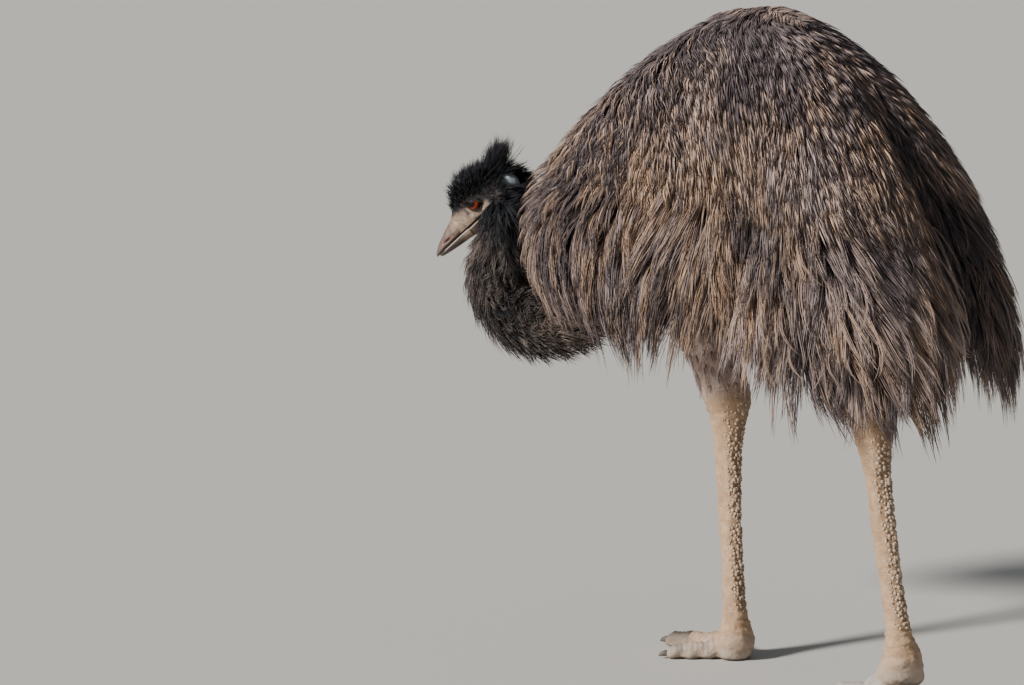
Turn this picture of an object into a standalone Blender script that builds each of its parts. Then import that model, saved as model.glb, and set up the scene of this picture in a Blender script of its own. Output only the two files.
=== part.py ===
# A life-size emu, standing in mid stride with its neck curled down before its breast.
# Metres, +Z up. The bird faces -Y, its left side is +X, and it stands on Z = 0.

import math

import bmesh
import bpy
from mathutils import Vector

# General sizes: the gap between neighbours, and how far past it a cutter is grown
GAP = 0.0003
CUT_MARGIN = 1.6
SHARP_EDGE = math.radians(45)
STANCE_SHIFT = 0.1095
FLOOR = 0.0

# The coat of the body, out to the tips of the feathers
BACK_TOP = 1.048
BODY_MIDDLE_Y = -0.020
FRONT_LENGTH = 0.430
REAR_LENGTH = 0.434
HALF_WIDTH = 0.274
FRONT_WIDEST_Z = 0.700
REAR_WIDEST_Z = 0.545
SIDE_WIDEST_Z = 0.580
FRONT_SWELL = (1.25, 1.60)
REAR_SWELL = (1.45, 1.72)
SIDE_SWELL = (1.85, 1.95)
FRONT_UNDERCUT = 0.45
REAR_UNDERCUT = 0.05
SIDE_UNDERCUT = 0.05
UNDERCUT_REACH = 0.20
UNDERCUT_POWER = 3.2
FRONT_SQUARENESS = 2.1
REAR_SQUARENESS = 2.4
# turn from the breast in degrees, height of the feather tips
HEM_BY_TURN = (
    (0, 0.556),
    (62, 0.548),
    (84, 0.510),
    (98, 0.542),
    (118, 0.437),
    (134, 0.403),
    (160, 0.402),
    (172, 0.450),
    (180, 0.490),
)
RIGHT_RUMP_LIFT = 0.050
RIGHT_RUMP_TURN = -166.0
RIGHT_RUMP_SPREAD = 18.0
BELLY_Z = 0.560
RUMP_CREASE = 0.085
RUMP_CREASE_TURN = 11.0
COAT_SIDES = 40
COAT_LEVELS = 12
UNDERSIDE_STEPS = ((0.92, 0.16), (0.78, 0.78), (0.45, 1.00))

# Cuts that part the coat into tail, wings and thighs
TAIL_START = (0.0, 0.300, 0.600)
TAIL_LEAN = math.radians(-14)
WING_CENTRE = (0.245, -0.235, 0.705)
WING_HALF_SIZES = (0.070, 0.135, 0.062)
WING_TURN = (math.radians(24), 0.0, math.radians(24))
THIGH_CENTRE = (0.185, 0.035, 0.585)
THIGH_HALF_SIZES = (0.110, 0.140, 0.215)
THIGH_TURN = (math.radians(16), 0.0, 0.0)

# The neck, from inside the breast to inside the head: x, y, z, half width, half depth
NECK_LINE = (
    (0.000, -0.200, 0.654, 0.052, 0.048),
    (0.000, -0.285, 0.596, 0.056, 0.056),
    (0.000, -0.350, 0.550, 0.057, 0.055),
    (0.004, -0.413, 0.523, 0.054, 0.057),
    (0.010, -0.473, 0.518, 0.050, 0.061),
    (0.018, -0.524, 0.544, 0.047, 0.054),
    (0.026, -0.545, 0.588, 0.043, 0.046),
    (0.034, -0.528, 0.634, 0.038, 0.040),
    (0.040, -0.512, 0.676, 0.034, 0.036),
    (0.044, -0.508, 0.716, 0.028, 0.030),
)
NECK_LENGTHS = (("neck_lower", 0.0, 3.5), ("neck_middle", 3.5, 6.0), ("neck_upper", 6.0, 9.0))
NECK_SIDES = 16
NECK_RINGS = 8
NECK_STEP = 0.05

# The head, in its own frame: it faces -Y before it is tilted and turned
HEAD_PLACE = (0.045, -0.544, 0.715)
HEAD_TILT = math.radians(43)
HEAD_TURN = math.radians(30)
HEAD_SIDES = 18
# forward, top, bottom, half width
HEAD_LINE = (
    (-0.0630, -0.004, -0.012, 0.006),
    (-0.0600, 0.012, -0.028, 0.017),
    (-0.0480, 0.034, -0.044, 0.028),
    (-0.0270, 0.051, -0.050, 0.034),
    (-0.0050, 0.062, -0.047, 0.034),
    (0.0120, 0.064, -0.044, 0.0305),
    (0.0280, 0.053, -0.042, 0.0265),
    (0.0420, 0.036, -0.038, 0.0225),
    (0.0540, 0.020, -0.034, 0.019),
)
HEAD_RINGS = 14
CREST_PLACE = (0.0, 0.066, 0.030)
CREST_HALF_SIZES = (0.016, 0.024, 0.022)
EYE_RADIUS = 0.0135
EYE_PLACE = (0.0195, -0.0170, 0.0072)

# The bill: the two halves meet on the gape line, level in the head's frame
GAPE_LEVEL = -0.0192
BILL_SIDES = 16
BILL_RINGS = 7
# forward, top, bottom, half width
UPPER_BILL_LINE = (
    (0.0545, 0.0180, -0.0330, 0.0180),
    (0.0690, 0.0095, -0.0330, 0.0172),
    (0.0860, 0.0030, -0.0320, 0.0155),
    (0.1020, -0.0035, -0.0300, 0.0130),
    (0.1150, -0.0105, -0.0275, 0.0095),
    (0.1210, -0.0150, -0.0260, 0.0062),
    (0.1240, -0.0185, -0.0250, 0.0030),
)
LOWER_BILL_LINE = (
    (0.0545, -0.0040, -0.0335, 0.0168),
    (0.0700, -0.0060, -0.0318, 0.0155),
    (0.0880, -0.0080, -0.0295, 0.0132),
    (0.1020, -0.0110, -0.0272, 0.0105),
    (0.1120, -0.0140, -0.0250, 0.0072),
    (0.1170, -0.0165, -0.0232, 0.0045),
)

# The legs: where the ball of each foot is, the hock, and the knee inside the coat
# A toe has a turn from -Y to the bird's left in degrees, and a length
LEGS = {
    "left": {
        "ball": (0.080, 0.310, 0.092),
        "hock": (0.095, 0.257, 0.450),
        "knee": (0.130, 0.100, 0.770),
        "toes": {"inner": (-46, 0.118), "middle": (-9, 0.152), "outer": (32, 0.118)},
    },
    "right": {
        "ball": (-0.045, -0.093, 0.040),
        "hock": (-0.085, -0.145, 0.406),
        "knee": (-0.130, -0.300, 0.750),
        "toes": {"inner": (42, 0.124), "middle": (0, 0.152), "outer": (-36, 0.112)},
    },
}
LEG_SIDES = 14
# share of the way from ball to hock, half width, half depth, bend forward
SHANK_LINE = (
    (0.000, 0.0350, 0.0255, 0.0000),
    (0.060, 0.0310, 0.0245, 0.0000),
    (0.130, 0.0230, 0.0225, 0.0010),
    (0.220, 0.0185, 0.0212, 0.0020),
    (0.450, 0.0170, 0.0208, 0.0030),
    (0.700, 0.0175, 0.0215, 0.0020),
    (0.830, 0.0215, 0.0250, 0.0000),
    (0.930, 0.0300, 0.0365, -0.0030),
    (1.000, 0.0330, 0.0420, -0.0050),
    (1.060, 0.0330, 0.0410, -0.0030),
)
SHANK_RINGS = 12
# share of the way from hock to knee, half width, half depth
DRUMSTICK_LINE = (
    (0.085, 0.0320, 0.0400),
    (0.200, 0.0380, 0.0470),
    (0.340, 0.0500, 0.0620),
    (0.600, 0.0640, 0.0800),
    (0.850, 0.0660, 0.0850),
)
DRUMSTICK_RINGS = 6
SHANK_TOP_SHARE = 1.060

# The feet
PAD_HALF_SIZES = (0.033, 0.030, 0.036)
PAD_CENTRE_BELOW_BALL = 0.022
PAD_BACK = -0.003
TOE_SIDES = 10
TOE_ROOT_HEIGHT = 0.040
TOE_DOWN_SHARE = 0.50
TOE_DOWN_POWER = 1.5
# share of the toe's length, half width, top height
TOE_LINE = (
    (0.100, 0.0190, 0.0400),
    (0.300, 0.0175, 0.0330),
    (0.420, 0.0155, 0.0285),
    (0.550, 0.0160, 0.0290),
    (0.680, 0.0140, 0.0250),
    (0.790, 0.0135, 0.0240),
    (0.870, 0.0100, 0.0190),
    (0.900, 0.0060, 0.0140),
)
TOE_RINGS = 8
TOE_THICKNESS = {"inner": 0.86, "middle": 1.0, "outer": 0.88}
CLAW_SIDES = 6
# share of the toe's length, height of the middle, half thickness
CLAW_LINE = (
    (0.840, 0.0090, 0.0062),
    (0.900, 0.0095, 0.0064),
    (0.950, 0.0085, 0.0050),
    (0.985, 0.0065, 0.0032),
    (1.000, 0.0050, 0.0012),
)
CLAW_RINGS = 5

# Finishes: base colour, roughness
FINISHES = {
    "coat": ((0.090, 0.066, 0.050, 1.0), 0.85),
    "neck_coat": ((0.034, 0.030, 0.031, 1.0), 0.85),
    "head_coat": ((0.018, 0.018, 0.022, 1.0), 0.80),
    "bill": ((0.270, 0.215, 0.180, 1.0), 0.55),
    "eye": ((0.190, 0.050, 0.015, 1.0), 0.10),
    "leg_skin": ((0.400, 0.300, 0.215, 1.0), 0.75),
    "claw": ((0.100, 0.085, 0.075, 1.0), 0.50),
}


def clear_scene():
    for item in list(bpy.data.objects):
        bpy.data.objects.remove(item, do_unlink=True)


def make_finish(name):
    colour, roughness = FINISHES[name]
    finish = bpy.data.materials.new(name)
    finish.use_nodes = True
    shader = finish.node_tree.nodes["Principled BSDF"]
    shader.inputs["Base Color"].default_value = colour
    shader.inputs["Roughness"].default_value = roughness
    shader.inputs["Metallic"].default_value = 0.0
    return finish


def smooth_value(points, place, column):
    """Read one column of a table at a place in its first column, on a smooth curve."""
    last = len(points) - 1
    if place <= points[0][0]:
        return points[0][column]
    if place >= points[last][0]:
        return points[last][column]
    index = max(i for i in range(last) if points[i][0] <= place)
    start, end = points[index], points[index + 1]
    span = end[0] - start[0]
    step = (end[column] - start[column]) / span

    def slope(i):
        if i <= 0 or i >= last:
            return step
        before, after = points[i - 1], points[i + 1]
        left = (points[i][column] - before[column]) / (points[i][0] - before[0])
        right = (after[column] - points[i][column]) / (after[0] - points[i][0])
        return 0.0 if left * right <= 0 else 2 * left * right / (left + right)

    t = (place - start[0]) / span
    rise = start[column] * (2 * t**3 - 3 * t**2 + 1) + end[column] * (3 * t**2 - 2 * t**3)
    lean = slope(index) * (t**3 - 2 * t**2 + t) + slope(index + 1) * (t**3 - t**2)
    return rise + lean * span


def read_line(table, place):
    return [smooth_value(table, place, column) for column in range(1, len(table[0]))]


def spread(start, end, count):
    return [start + (end - start) * i / (count - 1) for i in range(count)]


def oval(centre, side, up, half_side, half_up, sides):
    ring = []
    for i in range(sides):
        angle = math.tau * i / sides
        ring.append(centre + side * (half_side * math.cos(angle)) + up * (half_up * math.sin(angle)))
    return ring


def loft_mesh(name, rings):
    """Join closed rings of points into one closed body of triangles, with a flat face at each end."""
    bm = bmesh.new()
    rows = [[bm.verts.new(point) for point in ring] for ring in rings]
    for lower, upper in zip(rows, rows[1:]):
        for i in range(len(lower)):
            after = (i + 1) % len(lower)
            bm.faces.new((lower[i], lower[after], upper[after], upper[i]))
    bm.faces.new(list(reversed(rows[0])))
    bm.faces.new(rows[-1])
    bmesh.ops.recalc_face_normals(bm, faces=bm.faces)
    bmesh.ops.triangulate(bm, faces=bm.faces)
    if bm.calc_volume(signed=True) < 0:
        bmesh.ops.reverse_faces(bm, faces=bm.faces)
    mesh = bpy.data.meshes.new(name)
    bm.to_mesh(mesh)
    bm.free()
    return mesh


def ball_mesh(name, half_sizes, segments, rings):
    bm = bmesh.new()
    bmesh.ops.create_uvsphere(bm, u_segments=segments, v_segments=rings, radius=1.0)
    for vertex in bm.verts:
        vertex.co = Vector(a * b for a, b in zip(vertex.co, half_sizes))
    mesh = bpy.data.meshes.new(name)
    bm.to_mesh(mesh)
    bm.free()
    return mesh


def swelled(mesh, name, margin):
    """A copy of a mesh, grown along its normals, that cuts its neighbours clear of it."""
    bm = bmesh.new()
    bm.from_mesh(mesh)
    bm.normal_update()
    moves = [(vertex, vertex.normal * margin * CUT_MARGIN) for vertex in bm.verts]
    for vertex, move in moves:
        vertex.co += move
    grown = bpy.data.meshes.new(name)
    bm.to_mesh(grown)
    bm.free()
    return grown


def place_object(name, mesh, finish, parent, location=(0, 0, 0), rotation=(0, 0, 0)):
    item = bpy.data.objects.new(name, mesh)
    bpy.context.scene.collection.objects.link(item)
    item.parent = parent
    item.location = location
    item.rotation_euler = rotation
    if finish:
        mesh.materials.append(finish)
        mesh.shade_smooth()
        mesh.set_sharp_from_angle(angle=SHARP_EDGE)
    return item


def place_cutter(name, mesh, parent, location=(0, 0, 0), rotation=(0, 0, 0)):
    cutter = place_object(name, mesh, None, parent, location, rotation)
    cutter.hide_render = True
    cutter.display_type = "WIRE"
    return cutter


def cut(item, cutter, operation="DIFFERENCE"):
    boolean = item.modifiers.new(cutter.name, "BOOLEAN")
    boolean.operation = operation
    boolean.object = cutter
    boolean.solver = "EXACT"


def swell(height, exponents):
    """The share of the full half length that is left at a height from 0 to 1."""
    power, root = exponents
    return max(0.0, 1.0 - height**power) ** (1.0 / root)


def reach(z, widest_z, exponents, undercut):
    if z >= widest_z:
        return swell((z - widest_z) / (BACK_TOP - widest_z), exponents)
    return 1.0 - undercut * ((widest_z - z) / UNDERCUT_REACH) ** UNDERCUT_POWER


def coat_point(turn, z):
    """A point of the coat at a turn in degrees from the breast to the bird's left."""
    angle = math.radians(turn)
    squareness = FRONT_SQUARENESS if abs(turn) < 90 else REAR_SQUARENESS
    across = math.copysign(abs(math.sin(angle)) ** (2 / squareness), math.sin(angle))
    along = -math.copysign(abs(math.cos(angle)) ** (2 / squareness), math.cos(angle))
    half_width = HALF_WIDTH * reach(z, SIDE_WIDEST_Z, SIDE_SWELL, SIDE_UNDERCUT)
    if along < 0:
        half_length = FRONT_LENGTH * reach(z, FRONT_WIDEST_Z, FRONT_SWELL, FRONT_UNDERCUT)
    else:
        half_length = REAR_LENGTH * reach(z, REAR_WIDEST_Z, REAR_SWELL, REAR_UNDERCUT)
    off_midline = (180 - abs(turn)) / RUMP_CREASE_TURN
    drop = (BACK_TOP - z) / (BACK_TOP - REAR_WIDEST_Z)
    crease = 1.0 - RUMP_CREASE * min(1.0, max(0.0, drop)) * math.exp(-off_midline**2)
    return Vector((across * half_width * crease, BODY_MIDDLE_Y + along * half_length * crease, z))


def hem_height(turn):
    """The feather tips hang at the same height on both sides, but for a shorter right rump."""
    off_rump = (turn - RIGHT_RUMP_TURN) / RIGHT_RUMP_SPREAD
    return smooth_value(HEM_BY_TURN, abs(turn), 1) + RIGHT_RUMP_LIFT * math.exp(-off_rump**2)


def coat_rings():
    """Rings from the back down to the hem, then in under the belly."""
    turns = [360 * i / COAT_SIDES - 180 for i in range(COAT_SIDES)]
    hems = [hem_height(turn) for turn in turns]
    rings = []
    for level in range(1, COAT_LEVELS + 1):
        share = math.cos(math.pi / 2 * level / COAT_LEVELS)
        rings.append([coat_point(turn, hem + (BACK_TOP - hem) * share) for turn, hem in zip(turns, hems)])
    middle = Vector((0, BODY_MIDDLE_Y, 0))
    for size, lift in UNDERSIDE_STEPS:
        ring = []
        for point in rings[COAT_LEVELS - 1]:
            inner = middle + (Vector((point.x, point.y, 0)) - middle) * size
            inner.z = point.z + (BELLY_Z - point.z) * lift
            ring.append(inner)
        rings.append(ring)
    return rings


def mirrored(values, side):
    return (values[0] * side, values[1], values[2])


def mirrored_turn(angles, side):
    return (angles[0], angles[1] * side, angles[2] * side)


def build_coat(parent, finish):
    """The trunk, tail, wings and thighs: one coat, parted with thin cuts."""
    whole = loft_mesh("coat_whole", coat_rings())
    clearance = place_cutter("coat_clearance", swelled(whole, "coat_clearance", GAP), parent)
    trunk = place_object("trunk", whole.copy(), finish, parent)

    def slab(name, shift):
        bm = bmesh.new()
        bmesh.ops.create_cube(bm, size=1.0)
        bmesh.ops.translate(bm, vec=(0, 0.5 + shift, 0), verts=bm.verts)
        mesh = bpy.data.meshes.new(name)
        bm.to_mesh(mesh)
        bm.free()
        return place_cutter(name, mesh, parent, TAIL_START, (TAIL_LEAN, 0, 0))

    tail = place_object("tail", whole.copy(), finish, parent)
    cut(trunk, slab("tail_clearance", -GAP))
    cut(tail, slab("tail_region", 0.0), "INTERSECT")

    regions = {
        "wing": (WING_CENTRE, WING_HALF_SIZES, WING_TURN),
        "thigh": (THIGH_CENTRE, THIGH_HALF_SIZES, THIGH_TURN),
    }
    for region, (centre, half_sizes, turn) in regions.items():
        for side_name, side in (("left", 1), ("right", -1)):
            name = region + "_" + side_name
            place = mirrored(centre, side)
            angles = mirrored_turn(turn, side)
            ball = ball_mesh(name + "_region", half_sizes, 18, 10)
            keeper = place_cutter(name + "_region", ball, parent, place, angles)
            remover_mesh = swelled(ball, name + "_clearance", GAP)
            remover = place_cutter(name + "_clearance", remover_mesh, parent, place, angles)
            piece = place_object(name, whole.copy(), finish, parent)
            cut(piece, keeper, "INTERSECT")
            cut(trunk, remover)
    return clearance


def neck_rings(start, end):
    table = [(index,) + row for index, row in enumerate(NECK_LINE)]
    rings = []
    side = Vector((1, 0, 0))
    for place in spread(start, end, NECK_RINGS):
        x, y, z, half_width, half_depth = read_line(table, place)
        ahead = Vector(read_line(table, min(place + NECK_STEP, len(NECK_LINE) - 1))[:3])
        behind = Vector(read_line(table, max(place - NECK_STEP, 0))[:3])
        up = side.cross(ahead - behind).normalized()
        across = (ahead - behind).cross(up).normalized()
        rings.append(oval(Vector((x, y, z)), across, up, half_width, half_depth, NECK_SIDES))
    return rings


def part_gap(rings):
    """Draw the first ring in along the length, so that the piece stays clear of the one before."""
    centre = sum(rings[0], Vector()) / len(rings[0])
    after = sum(rings[1], Vector()) / len(rings[1])
    nudge = (after - centre).normalized() * GAP
    rings[0] = [point + nudge for point in rings[0]]
    return rings


def build_neck(parent, finish, coat_clearance, head_clearance):
    for name, start, end in NECK_LENGTHS:
        rings = part_gap(neck_rings(start, end))
        piece = place_object(name, loft_mesh(name, rings), finish, parent)
        if name == "neck_lower":
            cut(piece, coat_clearance)
        if name == "neck_upper":
            cut(piece, head_clearance)


def profile_rings(table, count, sides, low=None, high=None):
    """Ovals along a head or bill, cut level below or above where the mouth parts."""
    side, up = Vector((1, 0, 0)), Vector((0, 0, 1))
    rings = []
    for forward in spread(table[0][0], table[-1][0], count):
        top, bottom, half_width = read_line(table, forward)
        centre = Vector((0, -forward, (top + bottom) / 2))
        ring = oval(centre, side, up, half_width, (top - bottom) / 2, sides)
        for point in ring:
            if low is not None:
                point.z = max(point.z, low)
            if high is not None:
                point.z = min(point.z, high)
        rings.append(ring)
    return rings


def build_head(parent, finishes):
    """The head with its crest, the two eyes, and the two halves of the bill."""
    frame = bpy.data.objects.new("head_frame", None)
    bpy.context.scene.collection.objects.link(frame)
    frame.parent = parent
    frame.location = HEAD_PLACE
    frame.rotation_euler = (HEAD_TILT, 0, HEAD_TURN)

    whole = loft_mesh("head", profile_rings(HEAD_LINE, HEAD_RINGS, HEAD_SIDES))
    clearance = place_cutter("head_clearance", swelled(whole, "head_clearance", GAP), frame)
    head = place_object("head", whole, finishes["head_coat"], frame)
    crest = place_cutter("crest", ball_mesh("crest", CREST_HALF_SIZES, 12, 7), frame, CREST_PLACE)
    cut(head, crest, "UNION")

    for side_name, side in (("left", 1), ("right", -1)):
        name = "eye_" + side_name
        ball = ball_mesh(name, (EYE_RADIUS, EYE_RADIUS, EYE_RADIUS), 14, 8)
        socket = swelled(ball, name + "_socket", GAP)
        place_object(name, ball, finishes["eye"], frame, mirrored(EYE_PLACE, side))
        cut(head, place_cutter(name + "_socket", socket, frame, mirrored(EYE_PLACE, side)))

    half_gap = GAP / 2
    upper = profile_rings(UPPER_BILL_LINE, BILL_RINGS, BILL_SIDES, low=GAPE_LEVEL + half_gap)
    lower = profile_rings(LOWER_BILL_LINE, BILL_RINGS, BILL_SIDES, high=GAPE_LEVEL - half_gap)
    place_object("bill_upper", loft_mesh("bill_upper", upper), finishes["bill"], frame)
    place_object("bill_lower", loft_mesh("bill_lower", lower), finishes["bill"], frame)
    return clearance


def leg_ring(start, end, share, half_width, half_depth, bend=0.0):
    """An oval across a straight leg bone, wider from front to back than across."""
    side = Vector((1, 0, 0))
    along = (end - start).normalized()
    forward = along.cross(side).normalized()
    if forward.y > 0:
        forward = -forward
    side = forward.cross(along).normalized()
    centre = start + (end - start) * share + forward * bend
    return oval(centre, side, forward, half_width, half_depth, LEG_SIDES)


def build_shank(name, leg, parent, finish, pad_clearance):
    ball, hock = Vector(leg["ball"]), Vector(leg["hock"])
    rings = []
    for share in spread(SHANK_LINE[0][0], SHANK_LINE[-1][0], SHANK_RINGS):
        half_width, half_depth, bend = read_line(SHANK_LINE, share)
        rings.append(leg_ring(ball, hock, share, half_width, half_depth, bend))
    piece = place_object(name, loft_mesh(name, rings), finish, parent)
    cut(piece, pad_clearance)


def build_drumstick(name, leg, parent, finish, coat_clearance):
    """The feathered leg above the hock, up to where the coat covers it."""
    ball, hock, knee = Vector(leg["ball"]), Vector(leg["hock"]), Vector(leg["knee"])
    shank_way = (hock - ball).normalized()
    foot_of_piece = ball + (hock - ball) * SHANK_TOP_SHARE + shank_way * GAP
    half_width, half_depth = SHANK_LINE[-1][1:3]
    rings = [leg_ring(foot_of_piece, foot_of_piece + shank_way, 0.0, half_width, half_depth)]
    for share in spread(DRUMSTICK_LINE[0][0], DRUMSTICK_LINE[-1][0], DRUMSTICK_RINGS)[1:]:
        half_width, half_depth = read_line(DRUMSTICK_LINE, share)
        rings.append(leg_ring(hock, knee, share, half_width, half_depth))
    piece = place_object(name, loft_mesh(name, rings), finish, parent)
    cut(piece, coat_clearance)


def level_below(rings, level):
    for ring in rings:
        for point in ring:
            point.z = max(point.z, level)
    return rings


def build_pad(name, leg, parent, finish):
    """The pad under the ball of the foot, flat where it bears on the ground."""
    mesh = ball_mesh(name, PAD_HALF_SIZES, 16, 8)
    x, y, z = leg["ball"]
    place = (x, y + PAD_BACK, z - PAD_CENTRE_BELOW_BALL)
    for vertex in mesh.vertices:
        vertex.co.z = max(vertex.co.z, FLOOR - place[2])
    clearance = place_cutter(name + "_clearance", swelled(mesh, name + "_clearance", GAP), parent, place)
    place_object(name, mesh, finish, parent, place)
    return clearance


def build_toe(foot, toe, leg, parent, finishes, pad_clearance, toes_before):
    turn, length = leg["toes"][toe]
    angle = math.radians(turn)
    along = Vector((math.sin(angle), -math.cos(angle), 0))
    side, up = Vector((-along.y, along.x, 0)), Vector((0, 0, 1))
    start = Vector((leg["ball"][0], leg["ball"][1], 0))
    thickness = TOE_THICKNESS[toe]
    rings = []
    lift = leg["ball"][2] - TOE_ROOT_HEIGHT
    for share in spread(TOE_LINE[0][0], TOE_LINE[-1][0], TOE_RINGS):
        half_width, top = (value * thickness for value in read_line(TOE_LINE, share))
        raised = lift * max(0.0, 1.0 - share / TOE_DOWN_SHARE) ** TOE_DOWN_POWER
        centre = start + along * (length * share) + up * (top - half_width + raised)
        rings.append(oval(centre, side, up, half_width, half_width, TOE_SIDES))
    whole = loft_mesh("toe_whole", level_below(rings, FLOOR))
    name = "toe_" + toe + "_" + foot
    clearance = place_cutter(name + "_clearance", swelled(whole, name + "_clearance", GAP), parent)
    piece = place_object(name, whole, finishes["leg_skin"], parent)
    cut(piece, pad_clearance)
    for earlier in toes_before:
        cut(piece, earlier)

    rings = []
    for share in spread(CLAW_LINE[0][0], CLAW_LINE[-1][0], CLAW_RINGS):
        height, half_size = (value * thickness for value in read_line(CLAW_LINE, share))
        centre = start + along * (length * share) + up * height
        rings.append(oval(centre, side, up, half_size, half_size, CLAW_SIDES))
    name = "claw_" + toe + "_" + foot
    claw = place_object(name, loft_mesh(name, rings), finishes["claw"], parent)
    cut(claw, clearance)
    return clearance


def build_leg(foot, parent, finishes, coat_clearance):
    leg = LEGS[foot]
    pad_clearance = build_pad("foot_" + foot, leg, parent, finishes["leg_skin"])
    build_shank("shank_" + foot, leg, parent, finishes["leg_skin"], pad_clearance)
    build_drumstick("drumstick_" + foot, leg, parent, finishes["leg_skin"], coat_clearance)
    toes_before = []
    for toe in ("middle", "inner", "outer"):
        toes_before.append(build_toe(foot, toe, leg, parent, finishes, pad_clearance, toes_before))


def main():
    clear_scene()
    finishes = {name: make_finish(name) for name in FINISHES}
    stance = bpy.data.objects.new("stance", None)
    bpy.context.scene.collection.objects.link(stance)
    stance.location = (0, STANCE_SHIFT, 0)
    coat_clearance = build_coat(stance, finishes["coat"])
    head_clearance = build_head(stance, finishes)
    build_neck(stance, finishes["neck_coat"], coat_clearance, head_clearance)
    for foot in LEGS:
        build_leg(foot, stance, finishes, coat_clearance)


main()
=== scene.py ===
# A life-size emu in mid stride: one skin, a coat of mesh feathers, bill, eyes and claws.
# Metres, +Z up. The bird walks towards -Y, its left side is +X, and it stands on Z = 0.

import math
from functools import partial

import bmesh
import bpy
import numpy as np
from mathutils import Matrix, Vector
from mathutils.bvhtree import BVHTree


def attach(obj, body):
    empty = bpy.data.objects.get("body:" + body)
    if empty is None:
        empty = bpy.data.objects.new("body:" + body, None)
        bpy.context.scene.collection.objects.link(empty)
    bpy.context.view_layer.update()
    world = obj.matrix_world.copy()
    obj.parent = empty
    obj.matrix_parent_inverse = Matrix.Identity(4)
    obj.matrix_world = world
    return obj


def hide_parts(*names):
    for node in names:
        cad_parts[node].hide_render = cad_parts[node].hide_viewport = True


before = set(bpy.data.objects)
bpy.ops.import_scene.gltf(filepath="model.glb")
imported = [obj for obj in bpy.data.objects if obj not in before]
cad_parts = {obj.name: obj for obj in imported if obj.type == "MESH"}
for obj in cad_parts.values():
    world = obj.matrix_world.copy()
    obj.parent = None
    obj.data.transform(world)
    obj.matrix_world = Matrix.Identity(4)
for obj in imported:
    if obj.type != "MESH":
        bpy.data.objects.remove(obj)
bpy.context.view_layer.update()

# All places below are moved by this, as the solids are
SHIFT = np.array((0.0, 0.1095, 0.0))
UP = np.array((0.0, 0.0, 1.0))

# The coat of the body, out to the tips of the feathers: lengths before and behind its middle,
# the heights at which it is longest and widest, how full it is above and how far it draws in below
BACK_TOP = 1.048
MIDDLE_Y = -0.020
FRONT_LENGTH, REAR_LENGTH, HALF_WIDTH = 0.430, 0.434, 0.274
FRONT_WIDEST_Z, REAR_WIDEST_Z, SIDE_WIDEST_Z = 0.700, 0.545, 0.580
FRONT_SWELL, REAR_SWELL, SIDE_SWELL = (1.25, 1.60), (1.45, 1.72), (1.85, 1.95)
FRONT_UNDERCUT, REAR_UNDERCUT, SIDE_UNDERCUT = 0.45, 0.05, 0.05
UNDERCUT_REACH, UNDERCUT_POWER = 0.20, 3.2
CORE_HEIGHT = 0.66
FRONT_SQUARENESS, REAR_SQUARENESS = 2.1, 2.4
# Height of the hem at turns from the breast, higher to the right of the rump
HEM_TURNS = (0, 62, 84, 98, 118, 134, 160, 172, 180)
HEM_HEIGHTS = (0.556, 0.548, 0.510, 0.542, 0.437, 0.403, 0.402, 0.450, 0.490)
RUMP_LIFT, RUMP_LIFT_TURN, RUMP_LIFT_SPREAD = 0.050, -166.0, 18.0
# The dent down the middle of the rump
CREASE, CREASE_TURN = 0.085, 11.0

# How far the skin lies inside the coat, at the back and at the skirt
COAT_DEPTH, SKIRT_DEPTH = 0.024, 0.050
SKIN_LEVEL = 0.86
BELLY_HEIGHT = 0.590
# The flat belly inside the last ring of the skin: size of each smaller ring, and its rise to the belly
BELLY_RINGS = ((0.90, 0.12), (0.75, 0.40), (0.55, 0.75), (0.30, 0.95))

# The size of the skin's faces, and how often each part is smoothed
BODY_GRAIN, BODY_SMOOTHING = 0.0088, 4
HEAD_GRAIN, HEAD_SMOOTHING = 0.0013, 4
LEG_GRAIN, LEG_SMOOTHING = 0.0027, 12

# x, y, z, half width, half depth of the neck with its coat, from the breast to the head
NECK = np.array((
    (0.000, -0.200, 0.654, 0.052, 0.048),
    (0.000, -0.285, 0.596, 0.056, 0.056),
    (0.000, -0.350, 0.550, 0.057, 0.055),
    (0.004, -0.413, 0.523, 0.054, 0.057),
    (0.010, -0.473, 0.518, 0.050, 0.061),
    (0.018, -0.524, 0.544, 0.047, 0.054),
    (0.026, -0.545, 0.588, 0.043, 0.046),
    (0.034, -0.528, 0.634, 0.038, 0.040),
    (0.040, -0.512, 0.676, 0.034, 0.036),
    (0.044, -0.508, 0.716, 0.028, 0.030),
))
# Depth of the neck's coat at the breast and at the head
NECK_COAT = (0.020, 0.010)

# The head in its own frame: it faces -Y before it is tilted and turned
HEAD_PLACE = (0.045, -0.544, 0.715)
HEAD_TILT, HEAD_TURN = math.radians(43), math.radians(30)
# forward, top, bottom, half width of the skin
HEAD_LINE = (
    (-0.0650, 0.000, -0.014, 0.004),
    (-0.0620, 0.008, -0.022, 0.013),
    (-0.0500, 0.019, -0.031, 0.0210),
    (-0.0280, 0.032, -0.036, 0.0260),
    (-0.0100, 0.039, -0.039, 0.0280),
    (0.0060, 0.0415, -0.038, 0.0268),
    (0.0200, 0.0395, -0.0365, 0.0250),
    (0.0340, 0.0325, -0.0350, 0.0222),
    (0.0460, 0.0245, -0.0340, 0.0200),
    (0.0560, 0.0178, -0.0332, 0.0181),
    (0.0610, 0.0142, -0.0318, 0.0170),
    (0.0650, 0.0090, -0.0270, 0.0140),
)
# Swells (+) of the cheek and dents (-) before the eye and at the ear:
# height, how far forward and its spread, how far up and its spread
HEAD_FORMS = (
    (0.0016, 0.020, 0.030, -0.012, 0.007),
    (-0.0022, 0.040, 0.012, 0.006, 0.010),
    (-0.0020, -0.026, 0.006, -0.006, 0.006),
)
EYE_RADIUS = 0.0150
EYE_PLACE = (0.0160, -0.0118, 0.0024)
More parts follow.
